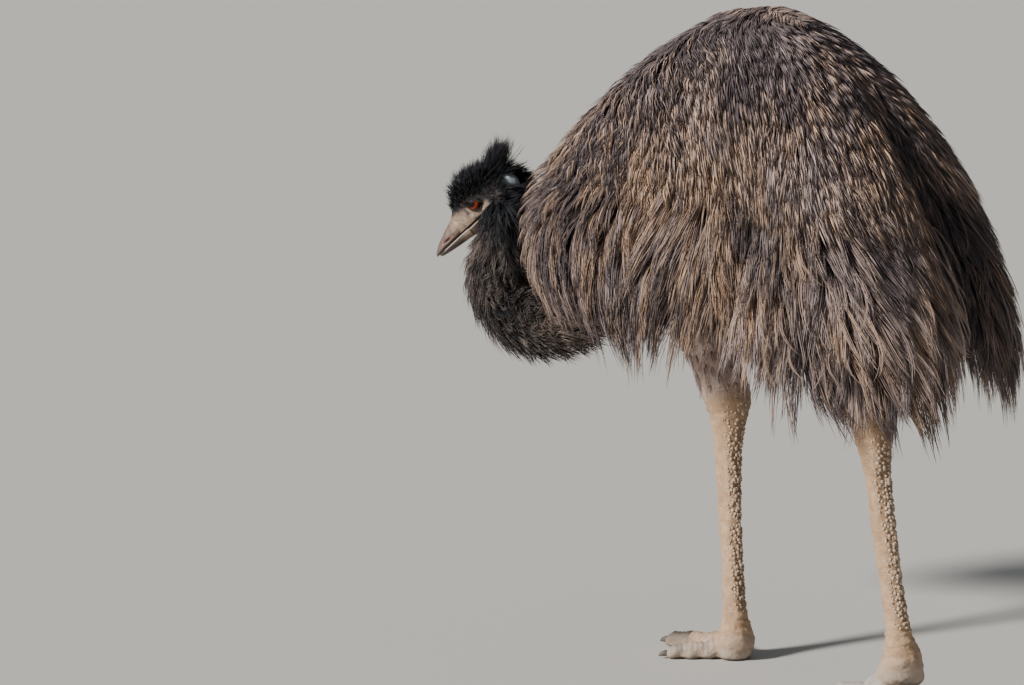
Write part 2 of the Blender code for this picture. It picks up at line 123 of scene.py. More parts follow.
# How far the eye's hollow lies inside the ball, the lids and their rims outside it, and the rims' thickness
SOCKET_DEPTH, LID_LIFT, RIM_LIFT = 0.0035, 0.0008, 0.0006
UPPER_RIM, LOWER_RIM = 0.0016, 0.0011
# The opening between the lids: slant of its long axis, its reach forward and back, up and down
EYE_SLANT = math.radians(38)
EYE_FRONT, EYE_BACK = 0.0185, 0.0146
EYE_ABOVE, EYE_BELOW = 0.0068, 0.0100
GAPE_LEVEL, HALF_GAPE = -0.0192, 0.0002
# The nostril: its place, its slope, its reach forward and back, and up and down
NOSTRIL_FORWARD, NOSTRIL_UP, NOSTRIL_SLOPE = 0.0903, -0.0100, 0.05
NOSTRIL_LENGTH, NOSTRIL_HEIGHT = 0.0084, 0.0021
# The bare pale patch behind the ear on the left side, forward and up in the head's frame
BLUE_PLACE = (-0.0625, -0.0106)

# forward, top, bottom, half width of the two halves of the bill
UPPER_BILL = (
    (0.0500, 0.0185, -0.0240, 0.0180),
    (0.0580, 0.0165, -0.0240, 0.0180),
    (0.0690, 0.0095, -0.0240, 0.0172),
    (0.0860, 0.0030, -0.0238, 0.0155),
    (0.1020, -0.0035, -0.0236, 0.0130),
    (0.1150, -0.0105, -0.0240, 0.0095),
    (0.1210, -0.0150, -0.0248, 0.0062),
    (0.1238, -0.0188, -0.0250, 0.0026),
)
LOWER_BILL = (
    (0.0500, -0.0080, -0.0335, 0.0166),
    (0.0700, -0.0080, -0.0316, 0.0153),
    (0.0880, -0.0090, -0.0293, 0.0130),
    (0.1020, -0.0115, -0.0270, 0.0104),
    (0.1120, -0.0142, -0.0250, 0.0072),
    (0.1168, -0.0168, -0.0232, 0.0040),
)

LEGS = {
    "left": {
        "ball": (0.080, 0.310, 0.092),
        "hock": (0.095, 0.257, 0.450),
        "knee": (0.130, 0.100, 0.770),
        "toes": {"inner": (-46, 0.118), "middle": (-9, 0.152), "outer": (32, 0.118)},
    },
    "right": {
        "ball": (-0.045, -0.093, 0.040),
        "hock": (-0.085, -0.145, 0.406),
        "knee": (-0.130, -0.300, 0.750),
        "toes": {"inner": (42, 0.124), "middle": (0, 0.152), "outer": (-36, 0.112)},
    },
}
# share of the way from ball to hock, half width, half depth, bend forward
SHANK_LINE = (
    (-0.085, 0.0235, 0.0215, 0.0000),
    (-0.058, 0.0310, 0.0280, 0.0000),
    (-0.028, 0.0342, 0.0292, 0.0000),
    (0.005, 0.0318, 0.0258, 0.0000),
    (0.045, 0.0256, 0.0222, 0.0000),
    (0.095, 0.0203, 0.0192, 0.0004),
    (0.150, 0.0174, 0.0180, 0.0010),
    (0.220, 0.0158, 0.0178, 0.0020),
    (0.450, 0.0155, 0.0188, 0.0030),
    (0.700, 0.0164, 0.0203, 0.0020),
    (0.830, 0.0198, 0.0236, 0.0000),
    (0.930, 0.0268, 0.0318, -0.0030),
    (1.000, 0.0308, 0.0385, -0.0050),
    (1.060, 0.0300, 0.0375, -0.0040),
    (1.120, 0.0260, 0.0320, -0.0030),
    (1.170, 0.0150, 0.0190, -0.0030),
)
# share of the way from hock to knee, half width, half depth
DRUMSTICK_LINE = (
    (-0.080, 0.0140, 0.0180),
    (-0.045, 0.0255, 0.0310),
    (0.000, 0.0292, 0.0355),
    (0.080, 0.0300, 0.0365),
    (0.200, 0.0330, 0.0410),
    (0.340, 0.0430, 0.0540),
    (0.600, 0.0600, 0.0760),
    (0.850, 0.0640, 0.0830),
)
PAD_HALF_SIZES = (0.0325, 0.0295, 0.0355)
PAD_AHEAD_OF_BALL, PAD_BELOW_BALL = 0.003, 0.022
TOE_ROOT_HEIGHT, TOE_DOWN_SHARE, TOE_DOWN_POWER = 0.040, 0.50, 1.5
# share of the toe's length, half width, top height
TOE_LINE = (
    (0.000, 0.0205, 0.0420),
    (0.100, 0.0203, 0.0416),
    (0.300, 0.0190, 0.0356),
    (0.420, 0.0170, 0.0311),
    (0.550, 0.0174, 0.0314),
    (0.680, 0.0152, 0.0271),
    (0.790, 0.0146, 0.0258),
    (0.870, 0.0106, 0.0200),
    (0.900, 0.0055, 0.0135),
)
TOE_THICKNESS = {"inner": 0.86, "middle": 1.0, "outer": 0.88}
TOE_PLATE = 0.0085
# share of the toe's length, height, half width
CLAW_LINE = (
    (0.840, 0.0090, 0.0060),
    (0.900, 0.0095, 0.0062),
    (0.950, 0.0085, 0.0048),
    (0.985, 0.0065, 0.0030),
    (1.000, 0.0050, 0.0010),
)
# How far over the floor the foot's own parts and the finished skin stay
SOLE_CLEARANCE, SKIN_CLEARANCE = 0.0008, 0.0006
# A lifted foot is broader below its ball: the way it broadens, how far, and the height that is lifted
SPREAD_WAY = np.array((-0.588, 0.809, 0.0))
BALL_SPREAD, LIFTED_BALL = 0.017, 0.06

# Size of each tuft's patch on its OFBake map
PATCH = 0.003

# The camera keeps the photo's framing: turn about the bird, distance, height, and where it looks
CAMERA_TURN, CAMERA_DISTANCE, CAMERA_HEIGHT = math.radians(126), 6.0, 1.455
CAMERA_YAW, CAMERA_PITCH = math.radians(3.83), math.radians(-8.82)
PHOTO_WIDTH, FOCAL_PIXELS, FILM_WIDTH = 1024, 3888, 36.0

# A low sun to the left of the camera and a little behind it, and an even pale sky
SUN_WAY, SUN_STRENGTH, SUN_WIDTH = (-0.800, 0.335, -0.490), 6.5, math.radians(9)
SUN_COLOUR, SKY_COLOUR, SKY_STRENGTH = (1.0, 0.955, 0.89), (0.72, 0.76, 0.80, 1), 0.30
FLOOR_SIZE, FLOOR_COLOUR = 60.0, (0.515, 0.505, 0.49, 1.0)

# The coat of the body is made in sectors: name, first and last turn
COAT_SECTORS = (
    ("breast", -62, 62),
    ("left", 62, 118),
    ("rump_left", 118, 176),
    ("rump_right", 176, 242),
    ("right", 242, 298),
)
# Tufts in each sector and the seed of the first one
BACK_COUNT, BACK_SEED = 1000, 101
SKIRT_COUNT, SKIRT_SEED = 640, 111
# Levels of the coat that each kind of feather grows on
BACK_LEVELS, SKIRT_LEVELS = (0.010, 0.60), (0.50, SKIN_LEVEL)
# Level and length of a feather there, level and half width of a tuft there
BACK_LENGTHS = ((0.0, 0.045), (0.10, 0.056), (0.35, 0.072), (0.60, 0.092))
BACK_WIDTHS = ((0.0, 0.0032), (0.3, 0.0046), (0.6, 0.0056))
SKIRT_LENGTHS = ((0.50, 0.085), (0.62, 0.110), (0.75, 0.135), (0.86, 0.150))
SKIRT_WIDTHS = ((0.5, 0.0056), (0.86, 0.0070))
# The same for the neck, by places along it
NECK_LENGTHS = ((1, 0.054), (4, 0.044), (7, 0.038), (9, 0.031))
NECK_WIDTHS = ((1, 0.0060), (6, 0.0045), (9, 0.0028))
# How far forward on the crown, and length of the bristles there
CROWN_LENGTHS = (
    (-0.050, 0.030), (-0.015, 0.034), (0.000, 0.035), (0.020, 0.033),
    (0.035, 0.028), (0.045, 0.021), (0.055, 0.012),
)
# Level and turn of the partings before each thigh and down the rump
THIGH_PARTING = ((0.60, 114), (0.71, 110), (0.83, 105), (0.97, 99))
RUMP_PARTING = ((0.50, -184), (0.64, -182), (0.73, -181), (0.83, -177), (0.90, -175))
# Share of the skirt's size, and rise of the hem that far inside it
UNDER_RISE = ((0.70, 0.95), (0.78, 0.78), (0.92, 0.16), (1.0, 0.0))
# Width of a single blade in each kind of feather
BACK_BLADE, RIDGE_BLADE, SKIRT_BLADE, PLUME_BLADE, UNDER_BLADE = 0.0021, 0.0020, 0.0015, 0.0011, 0.0030
NECK_BLADE, HEAD_BLADE, CREST_BLADE, SHIN_BLADE = 0.0013, 0.00075, 0.00065, 0.0014
# Feathers gather into locks: degrees of turn to a lock, seed of what it shares, bands down the coat
LOCK_WIDTH, LOCK_SEED, LOCK_BANDS = 5.6, 30, 12

# Scales behind each shank: rows, columns, share of the shank to a row, degrees to a column
SCALE_ROWS, SCALE_COLUMNS, SCALE_ROW_STEP, SCALE_COLUMN_TURN = 60, range(-3, 4), 0.0162, 21
SCALE_SIZES, SCALE_SEED = (0.0025, 0.0038), 126


# Helpers with numbers

# Steps of series that never fall on the same place twice
EVEN_STEPS, BAND_STEP = (0.7548776662, 0.5698402910), 0.381966
# The waves of a ripple, and the sum of them that counts as 1
WAVES, FULL_SUM = 7, 3.2


def unit(vectors):
    length = np.linalg.norm(vectors, axis=-1, keepdims=True)
    return vectors / np.maximum(length, 1e-9)


def ramp(values, low, high):
    share = np.clip((values - low) / (high - low), 0.0, 1.0)
    return share * share * (3 - 2 * share)


def bell(values, centre, spread):
    return np.exp(-((values - centre) / spread) ** 2)


def even_pairs(count):
    """Pairs of numbers from 0 to 1 that cover a square evenly and without a pattern."""
    order = np.arange(count)
    return [(0.5 + order * step) % 1.0 for step in EVEN_STEPS]


def read_table(table, places):
    """Read a table of places and values, on straight lines between its rows."""
    known, values = np.transpose(table)
    return np.interp(places, known, values)


def smooth_table(table, places):
    """Read every column of a table at places in its first column, on a smooth curve."""
    rows = np.array(table, float)
    x, y = rows[:, 0], rows[:, 1:]
    step = np.diff(y, axis=0) / np.diff(x)[:, None]
    slope = np.vstack((step[:1], step[1:] + step[:-1], step[-1:]))
    slope[1:-1] /= 2
    turning = step[1:] * step[:-1] <= 0
    slope[1:-1][turning] = 0.0
    places = np.clip(np.asarray(places, float), x[0], x[-1])
    index = np.clip(np.searchsorted(x, places, side="right") - 1, 0, len(x) - 2)
    span = (x[index + 1] - x[index])[..., None]
    t = ((places - x[index])[..., None]) / span
    rise = y[index] * (2 * t**3 - 3 * t**2 + 1) + y[index + 1] * (3 * t**2 - 2 * t**3)
    return rise + span * (slope[index] * (t**3 - 2 * t**2 + t) + slope[index + 1] * (t**3 - t**2))


def ripple(points, size, seed):
    """Smooth noise from -1 to 1 over points in space, made of a few crossing waves."""
    rng = np.random.default_rng(seed)
    total = np.zeros(points.shape[:-1])
    for _ in range(WAVES):
        way = unit(rng.normal(size=3))
        pitch = math.tau / (size * rng.uniform(0.7, 1.6))
        total += np.sin(points @ way * pitch + rng.uniform(0, math.tau))
    return np.clip(total / FULL_SUM, -1, 1)


def wrap(turn):
    return (turn + 180.0) % 360.0 - 180.0


# The surface of the coat, read at a turn from the breast and a level from back to hem

def hem_height(turn):
    lift = RUMP_LIFT * bell(turn, RUMP_LIFT_TURN, RUMP_LIFT_SPREAD)
    return np.interp(np.abs(turn), HEM_TURNS, HEM_HEIGHTS) + lift


def reach(z, widest_z, exponents, undercut):
    """Share of the full length or width that the coat has at a height."""
    height = np.clip((z - widest_z) / (BACK_TOP - widest_z), 0.0, 1.0)
    above = (1.0 - height ** exponents[0]) ** (1.0 / exponents[1])
    drop = np.clip((widest_z - z) / UNDERCUT_REACH, 0.0, 1.0)
    return above * (1.0 - undercut * drop**UNDERCUT_POWER)


def coat_point(turn, level):
    turn = wrap(turn)
    hem = hem_height(turn)
    z = hem + (BACK_TOP - hem) * np.cos(math.pi / 2 * np.clip(level, 0.0, 1.0))
    angle = np.radians(turn)
    power = 2 / np.where(np.abs(turn) < 90, FRONT_SQUARENESS, REAR_SQUARENESS)
    across = np.sign(np.sin(angle)) * np.abs(np.sin(angle)) ** power
    along = -np.sign(np.cos(angle)) * np.abs(np.cos(angle)) ** power
    half_width = HALF_WIDTH * reach(z, SIDE_WIDEST_Z, SIDE_SWELL, SIDE_UNDERCUT)
    front = FRONT_LENGTH * reach(z, FRONT_WIDEST_Z, FRONT_SWELL, FRONT_UNDERCUT)
    rear = REAR_LENGTH * reach(z, REAR_WIDEST_Z, REAR_SWELL, REAR_UNDERCUT)
    half_length = np.where(along < 0, front, rear)
    drop = np.clip((BACK_TOP - z) / (BACK_TOP - REAR_WIDEST_Z), 0.0, 1.0)
    crease = 1.0 - CREASE * drop * bell(180 - np.abs(turn), 0.0, CREASE_TURN)
    below = np.maximum(level - 1.0, 0.0) * (BACK_TOP - hem) * math.pi / 2
    x = across * half_width * crease
    y = MIDDLE_Y + along * half_length * crease
    return np.stack((x, y, z - below), axis=-1) + SHIFT


def coat_slopes(turn, level):
    """How the surface moves per degree of turn and per unit of level, and its outward normal."""
    small_turn, small_level = 0.4, 0.004
    by_turn = (coat_point(turn + small_turn, level) - coat_point(turn - small_turn, level)) / (2 * small_turn)
    high = np.clip(level + small_level, 0.006, 0.999)
    low = np.clip(level - small_level, 0.002, 0.990)
    by_level = (coat_point(turn, high) - coat_point(turn, low)) / (high - low)[..., None]
    normal = unit(np.cross(by_level, by_turn))
    centre = np.array((0.0, MIDDLE_Y, CORE_HEIGHT)) + SHIFT
    flip = np.sign(np.sum(normal * (coat_point(turn, level) - centre), axis=-1, keepdims=True))
    return by_turn, by_level, normal * np.where(flip == 0, 1, flip)


# Meshes

def new_object(name, mesh):
    item = bpy.data.objects.new(name, mesh)
    bpy.context.scene.collection.objects.link(item)
    return item


def array_mesh(name, points, faces_by_size):
    """A mesh from arrays: one array of corner numbers for each number of corners to a face."""
    mesh = bpy.data.meshes.new(name)
    corners = np.concatenate([faces.ravel() for faces in faces_by_size])
    sizes = np.concatenate([np.full(len(faces), faces.shape[1]) for faces in faces_by_size])
    starts = np.concatenate(((0,), np.cumsum(sizes)[:-1]))
    mesh.vertices.add(len(points))
    mesh.vertices.foreach_set("co", np.ascontiguousarray(points, np.float32).ravel())
    mesh.loops.add(len(corners))
    mesh.loops.foreach_set("vertex_index", corners.astype(np.int32))
    mesh.polygons.add(len(sizes))
    mesh.polygons.foreach_set("loop_start", starts.astype(np.int32))
    mesh.update(calc_edges=True)
    mesh.shade_smooth()
    return mesh


def paint(mesh, name, values, kind="FLOAT"):
    """Give every point of a mesh a number, or a vector where the kind says so."""
    layer = mesh.attributes.new(name, kind, "POINT")
    key = "value" if kind == "FLOAT" else "vector"
    layer.data.foreach_set(key, np.ascontiguousarray(values, np.float32).ravel())


def points_of(mesh):
    flat = np.empty(len(mesh.vertices) * 3, np.float32)
    mesh.vertices.foreach_get("co", flat)
    return flat.reshape(-1, 3).astype(float)


def normals_of(mesh):
    flat = np.empty(len(mesh.vertices) * 3, np.float32)
    mesh.vertex_normals.foreach_get("vector", flat)
    return flat.reshape(-1, 3).astype(float)


def move_points(mesh, points):
    mesh.vertices.foreach_set("co", np.ascontiguousarray(points, np.float32).ravel())
    mesh.update()


def primitive(name, make, **settings):
    """A mesh from one of the ready shapes."""
    bm = bmesh.new()
    make(bm, **settings)
    mesh = bpy.data.meshes.new(name)
    bm.to_mesh(mesh)
    bm.free()
    return mesh


def ring_faces(rings, sides):
    """Quads between rings of points that close on themselves."""
    j, i = np.meshgrid(np.arange(rings - 1), np.arange(sides), indexing="ij")
    after = (i + 1) % sides
    quads = np.stack((j * sides + i, j * sides + after, (j + 1) * sides + after, (j + 1) * sides + i), -1)
    return quads.reshape(-1, 4)


def loft(name, rings):
    """A closed body through rings of points, given as an array of rings, sides and coordinates."""
    rings = np.asarray(rings)
    count, sides = rings.shape[:2]
    points = np.vstack((rings.reshape(-1, 3), rings[0].mean(0), rings[-1].mean(0)))
    around = np.arange(sides)
    after = (around + 1) % sides
    first = np.stack((after, around, np.full(sides, count * sides)), -1)
    base = (count - 1) * sides
    last = np.stack((base + around, base + after, np.full(sides, count * sides + 1)), -1)
    mesh = array_mesh(name, points, (ring_faces(count, sides), np.vstack((first, last))))
    bm = bmesh.new()
    bm.from_mesh(mesh)
    bmesh.ops.recalc_face_normals(bm, faces=bm.faces)
    if bm.calc_volume(signed=True) < 0:
        bmesh.ops.reverse_faces(bm, faces=bm.faces)
    bm.to_mesh(mesh)
    bm.free()
    return mesh


def oval_rings(centres, side, up, half_side, half_up, sides, squareness=2.0):
    """Rings round centres. Side and up are one vector each, or one for every ring."""
    angle = math.tau * np.arange(sides) / sides
    power = 2 / squareness
    cosine = np.sign(np.cos(angle)) * np.abs(np.cos(angle)) ** power
    sine = np.sign(np.sin(angle)) * np.abs(np.sin(angle)) ** power
    across = np.atleast_2d(side)[:, None] * (half_side[:, None] * cosine)[..., None]
    above = np.atleast_2d(up)[:, None] * (half_up[:, None] * sine)[..., None]
    return centres[:, None] + across + above


def joined(name, meshes):
    bm = bmesh.new()
    for mesh in meshes:
        bm.from_mesh(mesh)
    whole = bpy.data.meshes.new(name)
    bm.to_mesh(whole)
    bm.free()
    return whole


def with_modifier(mesh, kind, settings):
    """A copy of a mesh with one modifier worked into it."""
    item = new_object("working", mesh)
    modifier = item.modifiers.new("work", kind)
    for key, value in settings.items():
        setattr(modifier, key, value)
    graph = bpy.context.evaluated_depsgraph_get()
    result = bpy.data.meshes.new_from_object(item.evaluated_get(graph))
    bpy.data.objects.remove(item)
    return result


def fused(mesh, grain, smoothing):
    """Melt overlapping bodies into one skin of even grain."""
    remesh = {"mode": "VOXEL", "voxel_size": grain, "use_smooth_shade": True}
    made = with_modifier(mesh, "REMESH", remesh)
    return with_modifier(made, "SMOOTH", {"factor": 0.5, "iterations": smoothing})


def united(first, second):
    helper = new_object("helper", second)
    union = {"operation": "UNION", "object": helper, "solver": "MANIFOLD"}
    made = with_modifier(first, "BOOLEAN", union)
    bpy.data.objects.remove(helper)
    return made


# The neck

NECK_TABLE = np.column_stack((np.arange(len(NECK)), NECK))
NECK_END = len(NECK) - 1


def neck_frame(place):
    """Centre, tangent towards the head, side, up and half sizes of the neck at places along it."""
    step = 0.05
    values = smooth_table(NECK_TABLE, place)
    ahead = smooth_table(NECK_TABLE, np.minimum(place + step, NECK_END))[..., :3]
    behind = smooth_table(NECK_TABLE, np.maximum(place - step, 0))[..., :3]
    tangent = unit(ahead - behind)
    up = unit(np.cross(np.array((1.0, 0, 0)), tangent))
    side = unit(np.cross(tangent, up))
    return values[..., :3] + SHIFT, tangent, side, up, values[..., 3], values[..., 4]


def neck_coat_depth(place):
    return NECK_COAT[0] + (NECK_COAT[1] - NECK_COAT[0]) * place / NECK_END


def neck_mesh():
    place = np.linspace(0, NECK_END, 40)
    centre, _, side, up, half_width, half_depth = neck_frame(place)
    depth = neck_coat_depth(place)
    return loft("neck", oval_rings(centre, side, up, half_width - depth, half_depth - depth, 24))


# The body under the coat

def skin_depth(level):
    return COAT_DEPTH + (SKIRT_DEPTH - COAT_DEPTH) * ramp(level, 0.45, SKIN_LEVEL)


def body_mesh():
    sides = 96
    turns = np.arange(sides) * (360 / sides) - 180
    rings = []
    for level in np.linspace(0.03, SKIN_LEVEL, 34):
        levels = np.full(len(turns), level)
        normal = coat_slopes(turns, levels)[2]
        rings.append(coat_point(turns, levels) - normal * skin_depth(level))
    middle = np.array((0.0, MIDDLE_Y, BELLY_HEIGHT)) + SHIFT
    last = rings[-1]
    for size, lift in BELLY_RINGS:
        flat = middle + (last - middle) * size
        flat[:, 2] = last[:, 2] + (middle[2] - last[:, 2]) * lift
        rings.append(flat)
    return loft("body", np.array(rings))


# The legs

def limb_axes(start, end):
    """The ways up a limb, forward out of it, and to its side."""
    along = unit(end - start)
    forward = unit(np.cross(along, np.array((1.0, 0, 0))))
    forward = forward if forward[1] < 0 else -forward
    return along, forward, unit(np.cross(forward, along))


def leg_rings(start, end, shares, half_width, half_depth, bend):
    _, forward, side = limb_axes(start, end)
    centres = start + (end - start) * shares[:, None] + forward * bend[:, None]
    return oval_rings(centres, side, forward, half_width, half_depth, 32)


def leg_points(leg):
    return [np.array(leg[key]) + SHIFT for key in ("ball", "hock", "knee")]


def shank_mesh(leg):
    ball, hock, _ = leg_points(leg)
    shares = np.linspace(SHANK_LINE[0][0], SHANK_LINE[-1][0], 60)
    half_width, half_depth, bend = smooth_table(SHANK_LINE, shares).T
    return loft("shank", leg_rings(ball, hock, shares, half_width, half_depth, bend))


def drumstick_mesh(leg, start, end, grown):
    _, hock, knee = leg_points(leg)
    shares = np.linspace(start, end, 24)
    half_width, half_depth = smooth_table(DRUMSTICK_LINE, shares).T + grown
    return loft("drumstick", leg_rings(hock, knee, shares, half_width, half_depth, np.zeros(24)))


def toe_frame(leg, toe):
    turn, length = leg["toes"][toe]
    angle = math.radians(turn)
    along = np.array((math.sin(angle), -math.cos(angle), 0.0))
    side = np.array((-along[1], along[0], 0.0))
    start = np.array((leg["ball"][0], leg["ball"][1], 0.0)) + SHIFT
    return start, along, side, length


def toe_mesh(leg, toe):
    start, along, side, length = toe_frame(leg, toe)
    shares = np.linspace(0, TOE_LINE[-1][0], 44)
    half_width, top = smooth_table(TOE_LINE, shares).T * TOE_THICKNESS[toe]
    lift = leg["ball"][2] - TOE_ROOT_HEIGHT
    raised = lift * np.maximum(0.0, 1.0 - shares / TOE_DOWN_SHARE) ** TOE_DOWN_POWER
    centres = start + along * (length * shares)[:, None] + UP * (top - half_width + raised)[:, None]
    rings = oval_rings(centres, side, UP, half_width, half_width, 24)
    rings[..., 2] = np.maximum(rings[..., 2], SOLE_CLEARANCE)
    return loft("toe", rings)


def pad_mesh(leg):
    mesh = primitive("pad", bmesh.ops.create_uvsphere, u_segments=32, v_segments=20, radius=1.0)
    centre = leg_points(leg)[0] + np.array((0, -PAD_AHEAD_OF_BALL, -PAD_BELOW_BALL))
    points = points_of(mesh) * PAD_HALF_SIZES + centre
    points[:, 2] = np.maximum(points[:, 2], SOLE_CLEARANCE)
    move_points(mesh, points)
    return mesh


def leg_detail(mesh, leg):
    """Creases at the hock and above the foot, tendons down the shank, and plates on the toes."""
    points, normals = points_of(mesh), normals_of(mesh)
    ball, hock, _ = leg_points(leg)
    along = unit(hock - ball)
    height = (points - ball) @ along / np.linalg.norm(hock - ball)
    move = np.zeros(len(points))
    wide_folds = np.sin(height * 170 + 1.6 * ripple(points, 0.04, 4))
    folds = wide_folds + 0.6 * np.sin(height * 300 + 2 * ripple(points, 0.02, 3))
    move += 0.0007 * bell(height, 0.055, 0.085) * folds * (points[:, 2] > 0.035)
    move += 0.0008 * bell(height, 0.955, 0.06) * np.sin(height * 190 + ripple(points, 0.02, 5))
    tendon = np.sin(np.clip((points[:, 0] - ball[0]) * 260, -6, 6))
    move += 0.0007 * tendon * ramp(height, 0.1, 0.2) * (1 - ramp(height, 0.8, 0.9))
    move += 0.0007 * ripple(points, 0.016, 6) + 0.0004 * ripple(points, 0.007, 7)
    for toe in leg["toes"]:
        start, way, side, length = toe_frame(leg, toe)
        local = points - start
        forward, across = local @ way, local @ side
        on_toe = (np.abs(across) < 0.024) * ramp(forward, 0.022, 0.038) * (forward < length)
        upward = ramp(normals[:, 2], 0.1, 0.6)
        plates = np.abs(np.sin(forward / TOE_PLATE * math.pi)) ** 0.6 - 0.5
        move += 0.0019 * on_toe * upward * plates
        knuckle = 0.0011 * on_toe * np.cos(forward / length * math.tau * 4.2)
        move -= knuckle * (1 - upward)
    moved = points + normals * move[:, None]
    off = points - ball
    low = 1 - ramp(off[:, 2], -0.055, -0.006)
    near = 1 - ramp(np.linalg.norm(off[:, :2], axis=1), 0.045, 0.065)
    spread = BALL_SPREAD if ball[2] > LIFTED_BALL else 0.0
    aside = off @ SPREAD_WAY
    widened = ramp(aside, 0.002, 0.030) - 0.6 * ramp(-aside, 0.004, 0.030)
    moved += SPREAD_WAY * (spread * low * near * widened)[:, None]
    moved[:, 2] = np.maximum(moved[:, 2], SKIN_CLEARANCE)
    move_points(mesh, moved)


def leg_mesh(leg):
    parts = [shank_mesh(leg), drumstick_mesh(leg, -0.08, 0.52, 0.0012), pad_mesh(leg)]
    parts += [toe_mesh(leg, toe) for toe in leg["toes"]]
    mesh = fused(joined("leg", parts), LEG_GRAIN, LEG_SMOOTHING)
    leg_detail(mesh, leg)
    return mesh


# The head

HEAD_MATRIX = (
    Matrix.Translation(Vector(HEAD_PLACE) + Vector(SHIFT))
    @ Matrix.Rotation(HEAD_TURN, 4, "Z")
    @ Matrix.Rotation(HEAD_TILT, 4, "X")
)
HEAD_TO_WORLD = np.array(HEAD_MATRIX)
WORLD_TO_HEAD = np.array(HEAD_MATRIX.inverted())


def carried(points, matrix):
    return points @ matrix[:3, :3].T + matrix[:3, 3]


def head_local(points):
    """Forward, across (left is positive) and up, in the head's own frame."""
    local = carried(points, WORLD_TO_HEAD)
    return -local[..., 1], local[..., 0], local[..., 2]


def profile_rings(table, count, sides, squareness, waist=0.0):
    """Rings along a side view. The waist narrows their upper half."""
    forward = np.linspace(table[0][0], table[-1][0], count)
    top, bottom, half_width = smooth_table(table, forward).T
    centres = np.stack((np.zeros(count), -forward, (top + bottom) / 2), -1)
    rings = oval_rings(centres, np.array((1.0, 0, 0)), UP, half_width, (top - bottom) / 2, sides, squareness)
    share = (rings[..., 2] - centres[:, None, 2]) / ((top - bottom) / 2)[:, None]
    rings[..., 0] *= 1 - waist * np.clip(share, 0, 1)
    return rings


def eye_spread(forward_off, up_off):
    """0 in the middle of the eye's opening, 1 on the edges of the lids, more outside them."""
    long = forward_off * math.cos(EYE_SLANT) + up_off * math.sin(EYE_SLANT)
    tall = up_off * math.cos(EYE_SLANT) - forward_off * math.sin(EYE_SLANT)
    share = np.where(long > 0, long / EYE_FRONT, long / EYE_BACK)
    height = np.where(tall > 0, tall / EYE_ABOVE, -tall / EYE_BELOW)
    return height + share**2, long, tall


def eye_centre(side):
    return np.array((EYE_PLACE[0] * side, EYE_PLACE[1], EYE_PLACE[2]))


def head_mesh():
    """The skull with brows, cheeks, ear hollows and an almond opening for each eye."""
    rings = profile_rings(HEAD_LINE, 60, 64, 2.15)
    mesh = fused(loft("head", rings), HEAD_GRAIN, HEAD_SMOOTHING)
    points, normals = points_of(mesh), normals_of(mesh)
    forward, up = -points[:, 1], points[:, 2]
    outward = np.abs(normals[:, 0])
    move = np.zeros(len(points))
    for height, along, along_spread, level, level_spread in HEAD_FORMS:
        move += height * bell(forward, along, along_spread) * bell(up, level, level_spread) * outward
    on_line = ramp(forward, 0.004, 0.012) * outward
    move -= 0.0016 * bell(up, GAPE_LEVEL, 0.0014) * on_line
    move += 0.0009 * bell(up, GAPE_LEVEL - 0.0030, 0.0014) * on_line
    wrinkles = np.sin(forward * 900 + 3 * ripple(points, 0.02, 13))
    wrinkles = wrinkles * bell(forward, 0.012, 0.016) * bell(up, -0.013, 0.006)
    move += 0.0003 * wrinkles * outward
    move += 0.0004 * ripple(points, 0.010, 11) + 0.0002 * ripple(points, 0.004, 12)
    points = points + normals * move[:, None]
    for side in (1, -1):
        eye = eye_centre(side)
        offset = points - eye
        facing = offset[:, 0] * side > 0
        spread, long, tall = eye_spread(-offset[:, 1], offset[:, 2])
        inside = facing & (spread < 1.0)
        rim = facing * (1 - ramp(spread, 1.15, 2.1)) * (spread >= 1.0)
        brow = facing * bell(tall, EYE_ABOVE + 0.0032, 0.0030) * bell(long, 0.001, 0.0125)
        way = unit(offset)
        sunk = eye + way * (EYE_RADIUS - SOCKET_DEPTH)
        raised = eye + way * (EYE_RADIUS + LID_LIFT)
        points = np.where(inside[:, None], sunk, points)
        points = points + (raised - points) * rim[:, None]
        points[:, 0] += 0.0030 * side * brow
    move_points(mesh, points)
    lids = [lid_mesh(side, edge) for side in (1, -1) for edge in (1, -1)]
    mesh = joined("head", [mesh] + lids)
    move_points(mesh, carried(points_of(mesh), HEAD_TO_WORLD))
    return mesh


def lid_mesh(side, edge):
    """A lid's soft rim, lying on the eyeball from corner to corner."""
    corner = 0.03
    angle = np.linspace(corner, math.pi - corner, 40)
    long = np.where(np.cos(angle) > 0, EYE_FRONT, EYE_BACK) * np.cos(angle)
    tall = np.sin(angle) ** 2 * (EYE_ABOVE if edge > 0 else -EYE_BELOW)
    y = -(long * math.cos(EYE_SLANT) - tall * math.sin(EYE_SLANT))
    z = long * math.sin(EYE_SLANT) + tall * math.cos(EYE_SLANT)
    ball = EYE_RADIUS + RIM_LIFT
    x = np.sqrt(np.maximum(ball**2 - y**2 - z**2, 1e-6))
    centre = eye_centre(side)
    line = centre + np.stack((x * side, y, z), -1)
    tangent = unit(np.gradient(line, axis=0))
    out = unit(line - centre)
    beside = unit(np.cross(out, tangent))
    thick = (UPPER_RIM if edge > 0 else LOWER_RIM) * np.sqrt(np.sin(np.clip(angle, 0.2, math.pi - 0.2)))
    return loft("lid", oval_rings(line, beside, out, thick * 1.3, thick, 10))


